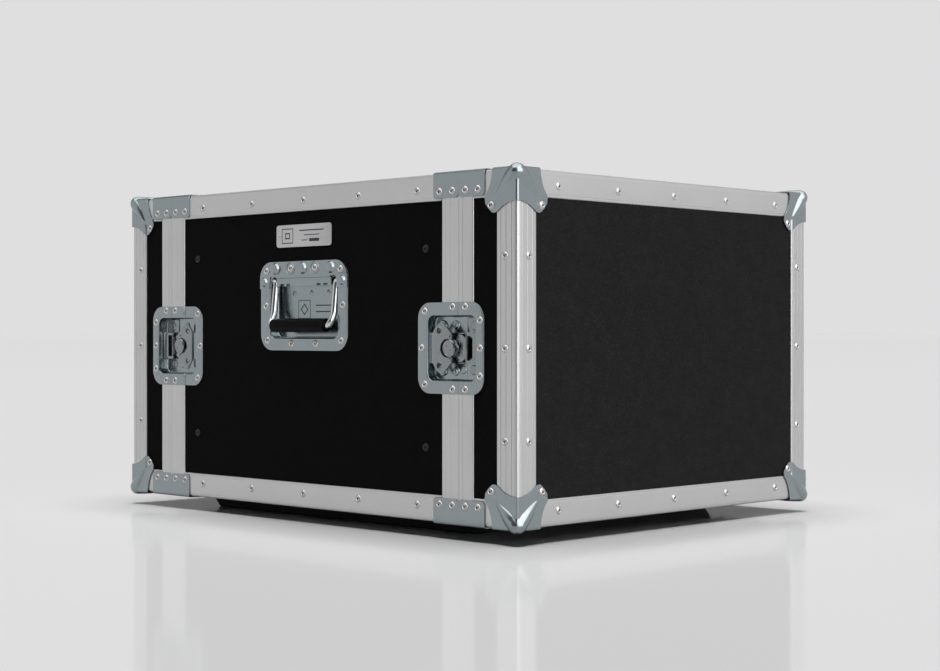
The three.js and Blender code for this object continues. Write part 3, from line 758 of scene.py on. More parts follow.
def corner_face(rows=72, columns=64):
    """A grid over one face of the corner, pushed out from a point inside it onto the pressed shape."""
    turns = np.linspace(0, math.pi / 2, columns + 1)
    shares = np.linspace(0, 1, rows + 1)
    reach = corner_reach(turns)
    u = shares[:, None] * reach * np.cos(turns) - CORNER_SKIN
    v = shares[:, None] * reach * np.sin(turns) - CORNER_SKIN
    target = np.stack([u, v, np.full_like(u, -CORNER_SKIN)], axis=-1)
    eye = np.full(3, 30.0)
    low, high = np.full(u.shape, 0.7), np.full(u.shape, 1.7)
    for scale in np.linspace(0.7, 1.6, 46):
        inside = corner_distance(eye + (target - eye) * scale) < 0
        low = np.where(inside, scale, low)
    high = low + 0.02
    for _ in range(18):
        middle = (low + high) / 2
        inside = corner_distance(eye + (target - eye) * middle[..., None]) < 0
        low, high = np.where(inside, middle, low), np.where(inside, high, middle)
    grid = eye + (target - eye) * low[..., None]
    tab = np.clip((np.minimum(grid[..., 0], grid[..., 1]) - 29.5) / 3.0, 0, 1)
    grid[..., 2] += TAB_STEP * tab * tab * (3 - 2 * tab)
    return grid


def corner_shell():
    grid = corner_face()
    rows, columns = grid.shape[:2]
    shell = Shell()
    for turn in range(3):
        points = np.roll(grid, turn, axis=-1).reshape(-1, 3)
        faces = [(r * columns + c, (r + 1) * columns + c, (r + 1) * columns + c + 1, r * columns + c + 1)
                 for r in range(rows - 1) for c in range(columns - 1)]
        shell.add(points.tolist(), faces)
    return shell


def ball_corners():
    pressed = corner_shell()
    placed = Shell().add([(u - HALF_WIDTH, v + FACE_Y, TOP - w) for u, v, w in pressed.points], pressed.faces)
    for end_name, end in ENDS:
        for side_name, side in SIDES:
            for level_name, level in LEVELS:
                node = f"{end_name}_ball_corner_{level_name}_{side_name}"
                mesh = to_bmesh(placed.mirrored(side, end, level))
                face_out(mesh, Vector((-side * HALF_WIDTH, end * FACE_Y, height_of(level, 0))) * MM)
                thing = piece(f"{node}_pressing", None, STEEL, f"{end_name}_lid", [node],
                              sharp=50.0, prepared=mesh)
                with_modifier(thing, "SOLIDIFY", thickness=1.1 * MM, offset=-1.0, use_rim=True)


def face_out(mesh, corner):
    """Turns an open sheet's faces so that they point out of the case at its corner."""
    inside = corner * 0.8
    total = sum((f.calc_center_median() - inside).dot(f.normal) * f.calc_area() for f in mesh.faces)
    if total < 0:
        bmesh.ops.reverse_faces(mesh, faces=mesh.faces)


# ---- recessed latch ----

SHEET = 1.2
DISH_FLOOR = 252.0
FLANGE_ON_FRAME = -dish_low[0]
FLANGE_DROP = 1.7
LATCH_SPAN = (keeper_low[1], dish_high[1])
LATCH_HEIGHT = (dish_low[2], dish_high[2])
DISH_SPAN = (FACE_Y + 60.3, FACE_Y + 135.0)
DISH_HEIGHT = (MIDDLE - 35.3, MIDDLE + 35.3)


def grown(span, by):
    return (span[0] - by, span[1] + by)


def pressed_dish(flange, flange_radius, dish, dish_radius, top, floor, thick=SHEET, fillet=2.2):
    """A pressed dish as one closed sheet: floor, walls, flange, its edge, and back along the underside."""
    def ring(span, height, radius, level):
        return [side_place(u, v, level) for u, v in rounded_rectangle(span, height, max(radius, 0.3))]

    rings = []

    def dish_ring(grow, level):
        rings.append(ring(grown(dish[0], grow), grown(dish[1], grow), dish_radius + grow, level))

    def flange_ring(grow, level):
        rings.append(ring(grown(flange[0], grow), grown(flange[1], grow), flange_radius + grow, level))

    turns = [math.radians(18 * k) for k in range(6)]
    for t in turns:
        dish_ring(-fillet * (1 - math.sin(t)), floor + fillet * (1 - math.cos(t)))
    lip = 1.3
    for t in turns:
        dish_ring(lip * (1 - math.cos(t)), top - lip * (1 - math.sin(t)))
    flange_ring(-0.5, top)
    flange_ring(-0.15, top - 0.15)
    flange_ring(0, top - 0.5)
    flange_ring(0, top - thick)
    dish_ring(thick, top - thick)
    dish_ring(thick, floor)
    dish_ring(thick - fillet, floor - thick)
    return Shell().loft(rings)


def latch_dish_mesh():
    shell = pressed_dish((LATCH_SPAN, LATCH_HEIGHT), 18.0, (DISH_SPAN, DISH_HEIGHT), 8.0,
                         FLANGE_ON_FRAME, DISH_FLOOR)
    mesh = to_bmesh(shell)
    steps = [BODY_FLANGE_Y + 0.4, BODY_FLANGE_Y + 1.8, LID_FLANGE_Y - 0.4, LID_FLANGE_Y - 1.8]
    for y in steps:
        everything = mesh.verts[:] + mesh.edges[:] + mesh.faces[:]
        bmesh.ops.bisect_plane(mesh, geom=everything, plane_co=(0, y * MM, 0), plane_no=(0, 1, 0))
    for vertex in mesh.verts:
        y, level = vertex.co.y / MM, -vertex.co.x / MM
        under = level < FLANGE_ON_FRAME - 0.6
        off = max(y - steps[0], steps[2] - y if under else 0)
        share = min(max(off / 1.4, 0), 1) * min(max((level - DISH_FLOOR - 2.5) / 6.0, 0), 1)
        vertex.co.x += FLANGE_DROP * share * MM
    return mesh


def cut_mesh(mesh, y, keep_above):
    """The part of a closed mesh on one side of a plane across the case, with the cut closed."""
    part = mesh.copy()
    everything = part.verts[:] + part.edges[:] + part.faces[:]
    bmesh.ops.bisect_plane(part, geom=everything, plane_co=(0, y * MM, 0), plane_no=(0, 1, 0),
                           clear_inner=keep_above, clear_outer=not keep_above)
    open_edges = [edge for edge in part.edges if len(edge.link_faces) == 1]
    bmesh.ops.triangle_fill(part, edges=open_edges, use_beauty=True, use_dissolve=False)
    bmesh.ops.recalc_face_normals(part, faces=part.faces)
    return part


def mirror_bmesh(mesh, x, y):
    copy = mesh.copy()
    for vertex in copy.verts:
        vertex.co.x *= x
        vertex.co.y *= y
    if x * y < 0:
        bmesh.ops.reverse_faces(copy, faces=copy.faces)
    return copy


def on_side(y, z):
    """Places a turned piece on the left side, its height as the distance from the middle plane."""
    return lambda u, v, level: (-level, y + u, MIDDLE + z + v)


def boss(y, z, radius, base, height, hole=0.0):
    """A raised ring or pad on the dish floor."""
    top = base + height
    profile = [(0.0, base - 0.3), (radius + 0.8, base - 0.3), (radius + 0.6, base), (radius, top - 0.3),
               (radius - 0.3, top)]
    if hole:
        profile += [(hole + 0.3, top), (hole, top - 0.3), (hole, base + 0.2)]
        profile.append((0.0, base + 0.2))
    else:
        profile.append((0.0, top))
    return Shell().lathe(profile, on_side(y, z), 28)


def keeper_bridge():
    """The bridge over the lid's half of the dish: cheeks, top plate with its window, and the striker bar."""
    inner, outer = DISH_SPAN[0] + 1.0, FACE_Y + 81.5
    half = 16.6
    window = (FACE_Y + 71.0, FACE_Y + 79.0)
    outline = rounded_polygon(
        [(inner, MIDDLE - half), (outer, MIDDLE - half), (outer, MIDDLE + half), (inner, MIDDLE + half)],
        [0, 2.2, 2.2, 0])
    hole = rounded_rectangle(window, (MIDDLE - 13.5, MIDDLE + 13.5), 0.8, 3)
    shell = Shell().prism(outline, 258.2, 259.5, side_place, [hole])
    for side in (-1, 1):
        cheek = sorted([MIDDLE + side * (half - 1.4), MIDDLE + side * half])
        shell.prism(rectangle((inner, FACE_Y + 80.0), cheek), DISH_FLOOR - 0.3, 258.4, side_place)
    bar_y = FACE_Y + 80.4
    shell.tube([side_place(bar_y, MIDDLE - 14.9, 259.3), side_place(bar_y, MIDDLE + 14.9, 259.3)], 0.8, 10)
    return shell


def hook_plate():
    """The hook: a bevelled plate with its slot, and a raised tongue that runs in under the keeper."""
    y = KNOB_Y
    tip, shoulder = hook_low[1], SEAM_Y - 1.4
    half, tongue = 14.7, 11.0
    points = [(tip, -tongue), (tip, tongue), (shoulder - 1, tongue), (shoulder + 4.5, half),
              (y + 9, half), (y + 14, half - 5), (y + 14, 5 - half), (y + 9, -half), (shoulder + 4.5, -half),
              (shoulder - 1, -tongue)]
    outline = [(u, MIDDLE + v) for u, v in rounded_polygon(points, [1.2, 1.2, 0, 1, 1, 1, 1, 1, 1, 0])]
    slot = arc((y, MIDDLE), 4.9, 90, 270, 10) + arc((y + 4.5, MIDDLE), 4.9, -90, 90, 10)
    shell = Shell().prism(outline, 256.0, 257.5, side_place, [slot])
    pad = rounded_rectangle((shoulder + 4.5, y - 8.5), (MIDDLE - 9.5, MIDDLE + 9.5), 2.0, 4)
    return shell.prism(pad, 257.3, 257.7, side_place)


def wing_plate():
    """The folding wing: a rounded butterfly with its two finger holes and the eyes of its hinge."""
    y = KNOB_Y
    sweep = 31.8

    def clipped(u, v):
        length = math.hypot(u, v)
        return (u, v) if length < sweep else (u * sweep / length, v * sweep / length)

    upper = [(-3.1, 15.4), (10.6, 28.4), (15.8, 27.2), (19.4, 24.8), (22.8, 21.4), (24.9, 18.4)]
    upper = [clipped(u, v) for u, v in upper]
    arch = arc((4.0, 0.0), 10.2, 90, -90, 16)
    points = upper + [(u, -v) for u, v in reversed(upper)] + [(-3.1, -10.2)]
    radii = [1.5, 3.0, 2, 2, 2, 3, 3, 2, 2, 2, 3.0, 1.5, 0.4]
    outline = rounded_polygon(points, radii, 4) + list(reversed(arch)) + [(-3.1, 10.2)]
    outline = [(y + u, MIDDLE + v) for u, v in outline]
    holes = [circle((y + 16.2, MIDDLE + side * 19), 3.25, 20) for side in (-1, 1)]
    shell = Shell().prism(outline, 262.15, 263.7, side_place, holes)
    for side in (-1, 1):
        start, stop = sorted([MIDDLE + side * 10.4, MIDDLE + side * 13.9])
        eye = Shell().lathe([(1.5, start), (2.5, start), (2.5, stop), (1.5, stop)],
                            lambda u, v, h: (-262.0 + u, y + v, h), 20)
        shell.merge(eye)
        rim = Shell().lathe([(3.25, 263.6), (4.1, 263.6), (4.1, 263.75), (3.7, 264.1), (3.3, 263.9)],
                            on_side(y + 16.2, side * 19), 24)
        shell.merge(rim)
    return shell


def knob():
    """The knob: a turned head with a rounded rim, its spindle and the two hinge pins."""
    place = on_side(KNOB_Y, 0)
    head = Shell().lathe([(0, 252.3), (4.5, 252.3), (4.5, 258.0), (9.3, 258.0), (9.7, 258.4), (9.7, 264.2),
                          (9.5, 264.9), (9.0, 265.4), (8.2, 265.7), (7.6, 265.75), (7.3, 265.55), (0, 265.5)],
                         place, 48)
    for side in (-1, 1):
        start, stop = sorted([MIDDLE + side * 8.0, MIDDLE + side * 13.2])
        head.merge(Shell().lathe([(0, start), (1.25, start), (1.25, stop), (0, stop)],
                                 lambda u, v, h: (-262.0 + u, KNOB_Y + v, h), 16))
    return head


# Two small discs on the knob's face, in the near-black finish that paints shade in the rivet holes.
def knob_dots():
    shell = Shell()
    for u, v in ((2.9, 2.4), (-2.9, -2.4)):
        shell.lathe([(0, 265.4), (0.75, 265.4), (0.75, 265.53), (0, 265.56)], on_side(KNOB_Y + u, v), 12)
    return shell


def latch_floor_parts():
    """Bosses, pads and channel walls pressed into the dish, as (on the body, on the lid)."""
    on_body, on_lid = Shell(), Shell()
    for side in (-1, 1):
        on_body.merge(boss(FACE_Y + 123.3, side * 24.0, 6.4, DISH_FLOOR, 2.2, 3.8))
        on_body.merge(boss(FACE_Y + 103.0, side * 25.0, 4.6, DISH_FLOOR, 1.0))
        wall = sorted([MIDDLE + side * 15.6, MIDDLE + side * 16.6])
        on_body.prism(rectangle((SEAM_Y + 0.6, KNOB_Y + 14.0), wall), DISH_FLOOR - 0.2, 255.6, side_place)
    step = rounded_rectangle((KNOB_Y + 17.0, DISH_SPAN[1] + 0.5), (MIDDLE - 16.9, MIDDLE + 16.9), 1.5, 3)
    on_body.prism(step, DISH_FLOOR - 0.2, 261.7, side_place)
    plate = rounded_rectangle((DISH_SPAN[0] + 0.5, SEAM_Y - 1.4), (MIDDLE + 17.2, MIDDLE + 33.5), 1.5, 3)
    on_lid.prism(plate, DISH_FLOOR - 0.2, DISH_FLOOR + 0.9, side_place)
    on_lid.merge(boss(FACE_Y + 74.0, 24.6, 4.8, DISH_FLOOR + 0.8, 0.8))
    on_lid.merge(boss(FACE_Y + 76.0, -23.5, 4.8, DISH_FLOOR, 0.8))
    on_body.merge(boss(FACE_Y + 91.8, -23.7, 4.0, DISH_FLOOR, 1.0))
    return on_body, on_lid


def latches():
    whole = latch_dish_mesh()
    body_half = cut_mesh(whole, SEAM_Y + SEAM_GAP, True)
    lid_half = cut_mesh(whole, SEAM_Y - SEAM_GAP, False)
    floor_body, floor_lid = latch_floor_parts()
    parts = {"rotor": knob(), "wing": wing_plate(), "hook": hook_plate(), "bridge": keeper_bridge(),
             "dots": knob_dots()}
    for end_name, end in ENDS:
        for side_name, side in SIDES:
            key = f"{end_name}_{side_name}"
            lid = f"{end_name}_lid"
            placed = {name: shell.mirrored(side, end) for name, shell in parts.items()}
            piece(f"{key}_dish_pressing", None, STEEL, "case_body", [f"{key}_latch_dish"],
                  prepared=mirror_bmesh(body_half, side, end))
            piece(f"{key}_dish_floor_parts", floor_body.mirrored(side, end), STEEL, "case_body",
                  bevel=0.15)
            piece(f"{key}_keeper_pressing", None, STEEL, lid, [f"{key}_latch_keeper"],
                  prepared=mirror_bmesh(lid_half, side, end))
            bridge = joined(placed["bridge"], floor_lid.mirrored(side, end))
            piece(f"{key}_keeper_bridge", bridge, BRIGHT, lid, bevel=0.15)
            piece(f"{key}_knob", placed["rotor"], BRIGHT, f"{key}_rotor",
                  [f"{key}_latch_rotor"])
            piece(f"{key}_knob_dots", placed["dots"], MANDREL_AND_HOLE_SHADE, f"{key}_rotor")
            piece(f"{key}_wing_plate", placed["wing"], BRIGHT, f"{key}_wing",
                  [f"{key}_latch_wing"], bevel=0.22)
            piece(f"{key}_hook_plate", placed["hook"], BRIGHT, f"{key}_hook",
                  [f"{key}_latch_hook"], bevel=0.2)
    for mesh in (whole, body_half, lid_half):
        mesh.free()


# ---- recessed handle ----

HANDLE_SPAN = (handle_low[1], handle_high[1])
HANDLE_HEIGHT = (handle_low[2], handle_high[2])
HANDLE_TOP = -handle_low[0]
HANDLE_FLOOR = -handle_high[0] + SHEET
HANDLE_DISH = ((-60.5, 60.5), (217.7, 291.0))
BAIL_PIVOT = (260.0, 286.0)
BAIL_GRIP = (270.0, 233.0)
BAIL_LEG = 54.7
BAIL_RADIUS = 4.0


def dimple(y, z, base, radius=7.4, height=2.8):
    """A raised round pip with a flat crown, on the left side."""
    top = base + height
    profile = [(0, base - 0.3), (radius, base - 0.3), (radius - 0.2, base + 0.1), (radius - 1.9, top - 0.4),
               (radius - 3.0, top), (0, top)]
    return Shell().lathe(profile, lambda u, v, level: (-level, y + u, z + v), 28)


def handle_cover():
    """The hinge cover: rounded top corners, a stepped lower lip with notches, and raised pips."""
    low, high = HANDLE_TOP + 0.2, HANDLE_TOP + 1.4
    span, top = HANDLE_SPAN, HANDLE_HEIGHT[1]
    outer = arc((span[1] - 20, top - 20), 20, 0, 90, 10) + arc((span[0] + 20, top - 20), 20, 90, 180, 10)
    lower = [(span[0], 277.0), (-61.5, 277.0), (-60.0, 291.0), (-49.5, 291.0), (-49.5, 289.4), (49.5, 289.4),
             (49.5, 291.0), (60.0, 291.0), (61.5, 277.0), (span[1], 277.0)]
    shell = Shell().prism(outer + lower, low, high, side_place)
    lip = [(-49.5, 290.0), (-49.5, 279.5), (-43.0, 279.5), (-43.0, 282.4), (-36.0, 282.4), (-36.0, 279.5),
           (-31.0, 279.5), (-31.0, 282.4), (-24.0, 282.4), (-24.0, 279.5), (-12.0, 279.5), (24.0, 279.5),
           (24.0, 282.4), (31.0, 282.4), (31.0, 279.5), (36.0, 279.5), (36.0, 282.4), (43.0, 282.4),
           (43.0, 279.5), (49.5, 279.5), (49.5, 290.0)]
    shell.prism(lip, low - 1.5, high - 1.6, side_place)
    for y in (-50.0, 0.0, 50.0):
        shell.merge(dimple(y, 300.6, high))
    for y in (-70.5, 70.5):
        shell.merge(dimple(y, 285.0, high, 6.0))
    for y in (-22.0, 22.0):
        shell.lathe([(6.5, high - 0.1), (6.8, high + 0.7), (7.4, high + 0.7), (7.7, high - 0.1)],
                    lambda u, v, level, y=y: (-level, y + u, 300.6 + v), 32)
    return shell


def handle_bail():
    """The bail: one round bar bent from its hinge pins down to the grip and back."""
    bend = 7.0
    (top_out, top_z), (grip_out, grip_z) = BAIL_PIVOT, BAIL_GRIP
    run = top_z - grip_z

    def leg(drop, y):
        """A point of the leg below the pivot. It leans out a little, then turns out to the grip."""
        turn = min(max((drop - run + 17.0) / 17.0, 0.0), 1.0)
        lean = 0.105 * drop
        out = top_out + lean + (grip_out - top_out - 0.105 * run) * turn * turn * (3 - 2 * turn)
        return side_place(y, top_z - drop, out)

    path = [leg(0, -59.6), leg(0.0, -57.6), leg(0.9, -55.6), leg(3.2, -BAIL_LEG)]
    path += [leg((run - bend) * k / 14, -BAIL_LEG) for k in range(2, 14)]
    for k in range(7):
        t = math.radians(15 * k)
        path.append(leg(run - bend + bend * math.sin(t), -BAIL_LEG + bend * (1 - math.cos(t))))
    path.append(leg(run, 0.0))
    path += [(x, -y, z) for x, y, z in reversed(path[:-1])]
    return Shell().tube(path, BAIL_RADIUS, 20)


def handle_grip():
    """The moulded grip: end collars and a slightly swelled barrel."""
    def place(u, v, y):
        return (-BAIL_GRIP[0] + u, y, BAIL_GRIP[1] + v)

    barrel = []
    for k in range(25):
        y = -47.4 + 94.8 * k / 24
        inset = abs(y) - 41.0
        radius = 8.2 if inset < 0 else 7.9
        barrel.append((radius, y))
    first, last = [(4.2, -47.4), (7.2, -47.5), (8.0, -47.1)], [(8.0, 47.1), (7.2, 47.5), (4.2, 47.4)]
    profile = first + barrel[1:-1] + last
    profile.append((4.2, -47.4))
    rings = []
    for radius, y in profile[:-1]:
        rings.append([place(radius * math.cos(t), radius * math.sin(t), y)
                      for t in [2 * math.pi * i / 40 for i in range(40)]])
    shell = Shell().loft(rings, closed=True)
    return shell


def handle_floor_parts():
    """Pips on the dish floor, below the hinge line."""
    shell = Shell()
    for y in (-31.0, 0.0, 31.0):
        shell.merge(dimple(y, 271.5, HANDLE_FLOOR, 3.6, 0.9))
    return shell


def handle_print():
    """A plain printed mark on the dish floor: a diamond in a square, beside two rules."""
    def diamond(reach):
        return [(13.0 - reach, 252.0), (13.0, 252.0 - reach), (13.0 + reach, 252.0), (13.0, 252.0 + reach)]

    def square(reach):
        return rounded_rectangle((13.0 - reach, 13.0 + reach), (252.0 - reach, 252.0 + reach), 1.0, 3)

    low, high = HANDLE_FLOOR - 0.05, HANDLE_FLOOR + 0.06
    shell = Shell().prism(square(11.0), low, high, side_place, [square(10.2)])
    shell.prism(diamond(7.0), low, high, side_place, [diamond(5.2)])
    for z, start in ((256.0, -40.0), (248.5, -34.0)):
        shell.prism(rounded_rectangle((start, -8.0), (z, z + 1.3), 0.4, 2), low, high, side_place)
    return shell


def handle_springs():
    """The two coil springs on the hinge line behind the cover."""
    shell = Shell()
    for side in (-1, 1):
        turns, radius, start, length = 7, 3.2, 30.0, 16.0
        path = []
        for k in range(turns * 14 + 1):
            t = 2 * math.pi * k / 14
            y = side * (start + length * k / (turns * 14))
            path.append((-BAIL_PIVOT[0] + radius * math.cos(t), y, BAIL_PIVOT[1] + radius * math.sin(t)))
        shell.tube(path, 0.75, 6)
    return shell


def handles():
    dish = pressed_dish((HANDLE_SPAN, HANDLE_HEIGHT), 20.0, HANDLE_DISH, 8.0, HANDLE_TOP, HANDLE_FLOOR)
    shells = {"dish": dish, "floor": handle_floor_parts(), "print": handle_print(), "cover": handle_cover(),
              "bail": handle_bail(), "grip": handle_grip(), "springs": handle_springs()}
    for name, side in SIDES:
        placed = {key: shell.mirrored(side, 1) for key, shell in shells.items()}
        piece(f"{name}_handle_pressing", placed["dish"], STEEL, "case_body",
              [f"{name}_handle_dish"])
        piece(f"{name}_handle_floor_parts", placed["floor"], STEEL, "case_body")
        piece(f"{name}_handle_print", placed["print"], SCREW, "case_body")
        piece(f"{name}_handle_hinge_cover", placed["cover"], STEEL, "case_body",
              [f"{name}_handle_cover"], bevel=0.3)
        piece(f"{name}_handle_springs", placed["springs"], BRIGHT, "case_body")
        piece(f"{name}_handle_bar", placed["bail"], POLISHED, f"{name}_bail",
              [f"{name}_handle_bail"])
        piece(f"{name}_handle_barrel", placed["grip"], GRIP, f"{name}_bail",
              [f"{name}_handle_grip"])


# ---- nameplate, screws and rivets ----


def nameplate():
    outline = rounded_rectangle((plate_low[1], plate_high[1]), (plate_low[2], plate_high[2]), 4.0, 6)
    shell = Shell().prism(outline, -plate_high[0], -plate_low[0] + 0.2, side_place)
    piece("nameplate_sheet", shell, PLATE, "case_body", ["nameplate"], bevel=0.15)


def rivet_head(sides=20):
    """A pop rivet's domed head about its own axis, dished in the middle round the mandrel."""
    profile = [(0.0, -0.5), (4.4, -0.5), (4.4, 0.05), (4.05, 0.55), (3.4, 1.1), (2.7, 1.43), (2.2, 1.5),
               (1.9, 1.2),
               (1.7, 0.9), (0.0, 0.85)]
    return Shell().lathe(profile, lambda u, v, h: (u, v, h), sides)


# The mandrel end sunk in a rivet head, near-black as painted shade of its hole.
def rivet_centre(sides=12):
    return Shell().lathe([(0, 0.7), (1.25, 0.7), (1.25, 0.92), (1.0, 1.0), (0, 1.02)],
                         lambda u, v, h: (u, v, h), sides)


def screw_head(sides=24):
    """A black button-head screw with a hexagon socket."""
    turns = [math.radians(a) for a in (0, 20, 40, 60, 75)]
    profile = [(0, -0.3), (4.6, -0.3)] + [(4.6 * math.cos(t), 1.9 * math.sin(t)) for t in turns]
    shell = Shell().lathe(profile + [(1.9, 1.85), (1.6, 0.7), (0, 0.6)], lambda u, v, h: (u, v, h), sides)
    return shell


def loose_object(name, shell, material):
    mesh = to_bmesh(shell)
    shade(mesh)
    data = bpy.data.meshes.new(name)
    mesh.to_mesh(data)
    mesh.free()
    data.materials.append(material)
    return bpy.data.objects.new(name, data)


def fastener_tree(name, layers):
    """A Geometry Nodes tree that sets a head on every point, turned to the point's own facing."""
    tree = bpy.data.node_groups.new(name, "GeometryNodeTree")
    inputs = [("Points", "Geometry", None), ("Head scale", "Float", 1.0), ("Turn seed", "Int", 7)]
    inputs += [(label, "Object", None) for label, _ in layers]
    for label, kind, default in inputs:
        socket = tree.interface.new_socket(label, in_out="INPUT", socket_type=f"NodeSocket{kind}")
        if default is not None:
            socket.default_value = default
    tree.interface.new_socket("Fasteners", in_out="OUTPUT", socket_type="NodeSocketGeometry")
    graph = Graph(tree)
    source = tree.nodes.new("NodeGroupInput")

    def given(label):
        return Value(graph, source.outputs[label])

    def stored(kind, label):
        return graph.add("GeometryNodeInputNamedAttribute", {"data_type": kind}, {"Name": label}, "Attribute")

    scale = stored("FLOAT", "scale") * given("Head scale")
    turn = graph.add("FunctionNodeRandomValue", {"data_type": "FLOAT"},
                     {2: 0.0, 3: 2 * math.pi, "Seed": given("Turn seed")}, 1)
    align = graph.add("FunctionNodeAlignRotationToVector", {"axis": "Z"},
                      {"Vector": stored("FLOAT_VECTOR", "facing")})
    euler = graph.add("FunctionNodeEulerToRotation", {}, [graph.add("ShaderNodeCombineXYZ", {}, {"Z": turn})])
    spin = graph.add("FunctionNodeRotateRotation", {"rotation_space": "LOCAL"}, [align, euler])

    join = tree.nodes.new("GeometryNodeJoinGeometry")
    for label, material in layers:
        head = graph.add("GeometryNodeObjectInfo", {}, {"Object": given(label)}, "Geometry")
        heads = graph.add("GeometryNodeInstanceOnPoints", {},
                          {"Points": given("Points"), "Instance": head, "Rotation": spin, "Scale": scale})
        real = graph.add("GeometryNodeRealizeInstances", {}, [heads])
        paint = graph.add("GeometryNodeSetMaterial", {}, {"Geometry": real, "Material": material})
        tree.links.new(paint.socket, join.inputs[0])
    sink = tree.nodes.new("NodeGroupOutput")
    tree.links.new(join.outputs[0], sink.inputs[0])
    return tree


class Fasteners:
    """Where the fasteners of one kind go, gathered for each body."""

    def __init__(self, tree, heads):
        self.tree = tree
        self.heads = heads
        self.places = {}

    def put(self, body, point, facing, scale=1.0):
        spots = self.places.setdefault(body, {})
        key = tuple(round(c, 2) for c in point) + tuple(round(c, 1) for c in facing)
        spots[key] = (point, facing, scale)

    def set_down(self, name):
        for body, spots in self.places.items():
            entries = [spots[key] for key in sorted(spots)]
            data = bpy.data.meshes.new(f"{body}_{name}")
            data.from_pydata([[c * MM for c in point] for point, _, _ in entries], [], [])
            facing = data.attributes.new("facing", "FLOAT_VECTOR", "POINT")
            facing.data.foreach_set("vector", [c for _, f, _ in entries for c in f])
            scale = data.attributes.new("scale", "FLOAT", "POINT")
            scale.data.foreach_set("value", [s for _, _, s in entries])
            thing = bpy.data.objects.new(f"{body}_{name}", data)
            bpy.context.scene.collection.objects.link(thing)
            modifier = thing.modifiers.new("Fasteners", "NODES")
            modifier.node_group = self.tree
            for item in self.tree.interface.items_tree:
                if item.in_out == "INPUT" and item.name in self.heads:
                    modifier[item.identifier] = self.heads[item.name]
            bake_modifiers(thing)
            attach(thing, body)


ON_STEEL = 1.02     # scale of a rivet on a brace or a corner
IN_DISH = 0.62      # and on the floor of a latch dish
ON_NAMEPLATE = 0.42


def rivet_places(rivets):
    """Every rivet, from the front left top corner and mirrored to the others."""
    frame_top = FLANGE_ON_FRAME
    on_panel = frame_top - FLANGE_DROP
    for end_name, end in ENDS:
        lid = f"{end_name}_lid"
        for _, side in SIDES:
            left = (-side, 0, 0)
            front = (0, -end, 0)

            def side_rivet(body, y, z, level, scale=1.0):
                rivets.put(body, (-side * level, end * y, z), left, scale)

            for _, level in LEVELS:
                up = (0, 0, level)
                for x in (0.0, 100.0, 200.0):
                    rivets.put(lid, (side * x, end * FACE_Y, height_of(level, 17.0)), front)
                    rivets.put(lid, (side * x, end * (FACE_Y + 17.0), height_of(level, 0)), up)
                for y in (-194.0, -97.0, 0.0):
                    side_rivet("case_body", y, height_of(level, 17.5), HALF_WIDTH)
                    rivets.put("case_body", (side * (HALF_WIDTH - 17.5), end * y, height_of(level, 0)), up)
                skin = BRACE_LIFT + BRACE_THICK
                for body, y in ((lid, 56.9), (lid, 75.9), ("case_body", 95.6), ("case_body", 115.3)):
                    side_rivet(body, FACE_Y + y, height_of(level, 20.3), HALF_WIDTH + skin, ON_STEEL)
                    over = (side * (HALF_WIDTH - 20.3), end * (FACE_Y + y), height_of(level, -skin))
                    rivets.put(body, over, up, ON_STEEL)
                sunk = CORNER_SKIN - TAB_STEP
                side_rivet(lid, FACE_Y + 38.5, height_of(level, 38.5), HALF_WIDTH + sunk, ON_STEEL)
                x = side * (HALF_WIDTH - 38.5)
                rivets.put(lid, (x, end * (FACE_Y - sunk), height_of(level, 38.5)), front, ON_STEEL)
                rivets.put(lid, (x, end * (FACE_Y + 38.5), height_of(level, -sunk)), up, ON_STEEL)
            for z in (-98.0, 0.0, 98.0):
                rivets.put(lid, (side * (HALF_WIDTH - 18), end * FACE_Y, MIDDLE + z), front)
                side_rivet(lid, FACE_Y + 18, MIDDLE + z, HALF_WIDTH)
            for v in (-1, 1):
                side_rivet("case_body", FACE_Y + 94.9, MIDDLE + v * 44.6, frame_top)
                side_rivet(lid, FACE_Y + 75.7, MIDDLE + v * 44.6, frame_top)
                side_rivet("case_body", FACE_Y + 139.7, MIDDLE + v * 40.3, on_panel)
                side_rivet(lid, FACE_Y + 53.5, MIDDLE + v * 29.9, frame_top)
                side_rivet("case_body", FACE_Y + 103.0, MIDDLE + v * 25.0, DISH_FLOOR + 1.0, IN_DISH)
            side_rivet("case_body", FACE_Y + 144.8, MIDDLE, on_panel)
            side_rivet(lid, FACE_Y + 53.5, MIDDLE, frame_top)
            for y, z in ((-67.0, 298.0), (-22.0, 300.6)):
                side_rivet("case_body", y, z, HANDLE_TOP + 1.4)
            for y, z in ((-69.5, 256.3), (-66.8, 214.9), (-22.0, 211.2)):
                side_rivet("case_body", y, z, HANDLE_TOP)
    for y in (plate_low[1] + 5.5, plate_high[1] - 5.5):
        spot = (plate_low[0] - 0.2, y, (plate_low[2] + plate_high[2]) / 2)
        rivets.put("case_body", spot, (-1, 0, 0), ON_NAMEPLATE)


def fasteners():
    # The mandrel ends carry the painted shade of the rivet holes.
    heads = {"Head": loose_object("rivet_head", rivet_head(), RIVET),
             "Mandrel in painted shade": loose_object("rivet_mandrel_end", rivet_centre(), MANDREL_AND_HOLE_SHADE)}
    rivets = Fasteners(fastener_tree("rivets_on_points", [("Head", RIVET), ("Mandrel in painted shade", MANDREL_AND_HOLE_SHADE)]), heads)
    rivet_places(rivets)
    rivets.set_down("rivets")
    screw = {"Head": loose_object("screw_head", screw_head(), SCREW)}
    screws = Fasteners(fastener_tree("screws_on_points", [("Head", SCREW)]), screw)
    for _, end in ENDS:
        for _, side in SIDES:
            for z in (-109.3, 109.3):
                screws.put("case_body", (-side * PANEL_X, end * -206.5, MIDDLE + z), (-side, 0, 0))
    screws.set_down("strip_screws")
    for head in list(heads.values()) + list(screw.values()):
        bpy.data.objects.remove(head)


# ---- finishes of the frame nodes that stay ----


def dress(node, material):
    data = frame["nodes"][node].data
    data.materials.clear()
    data.materials.append(material)


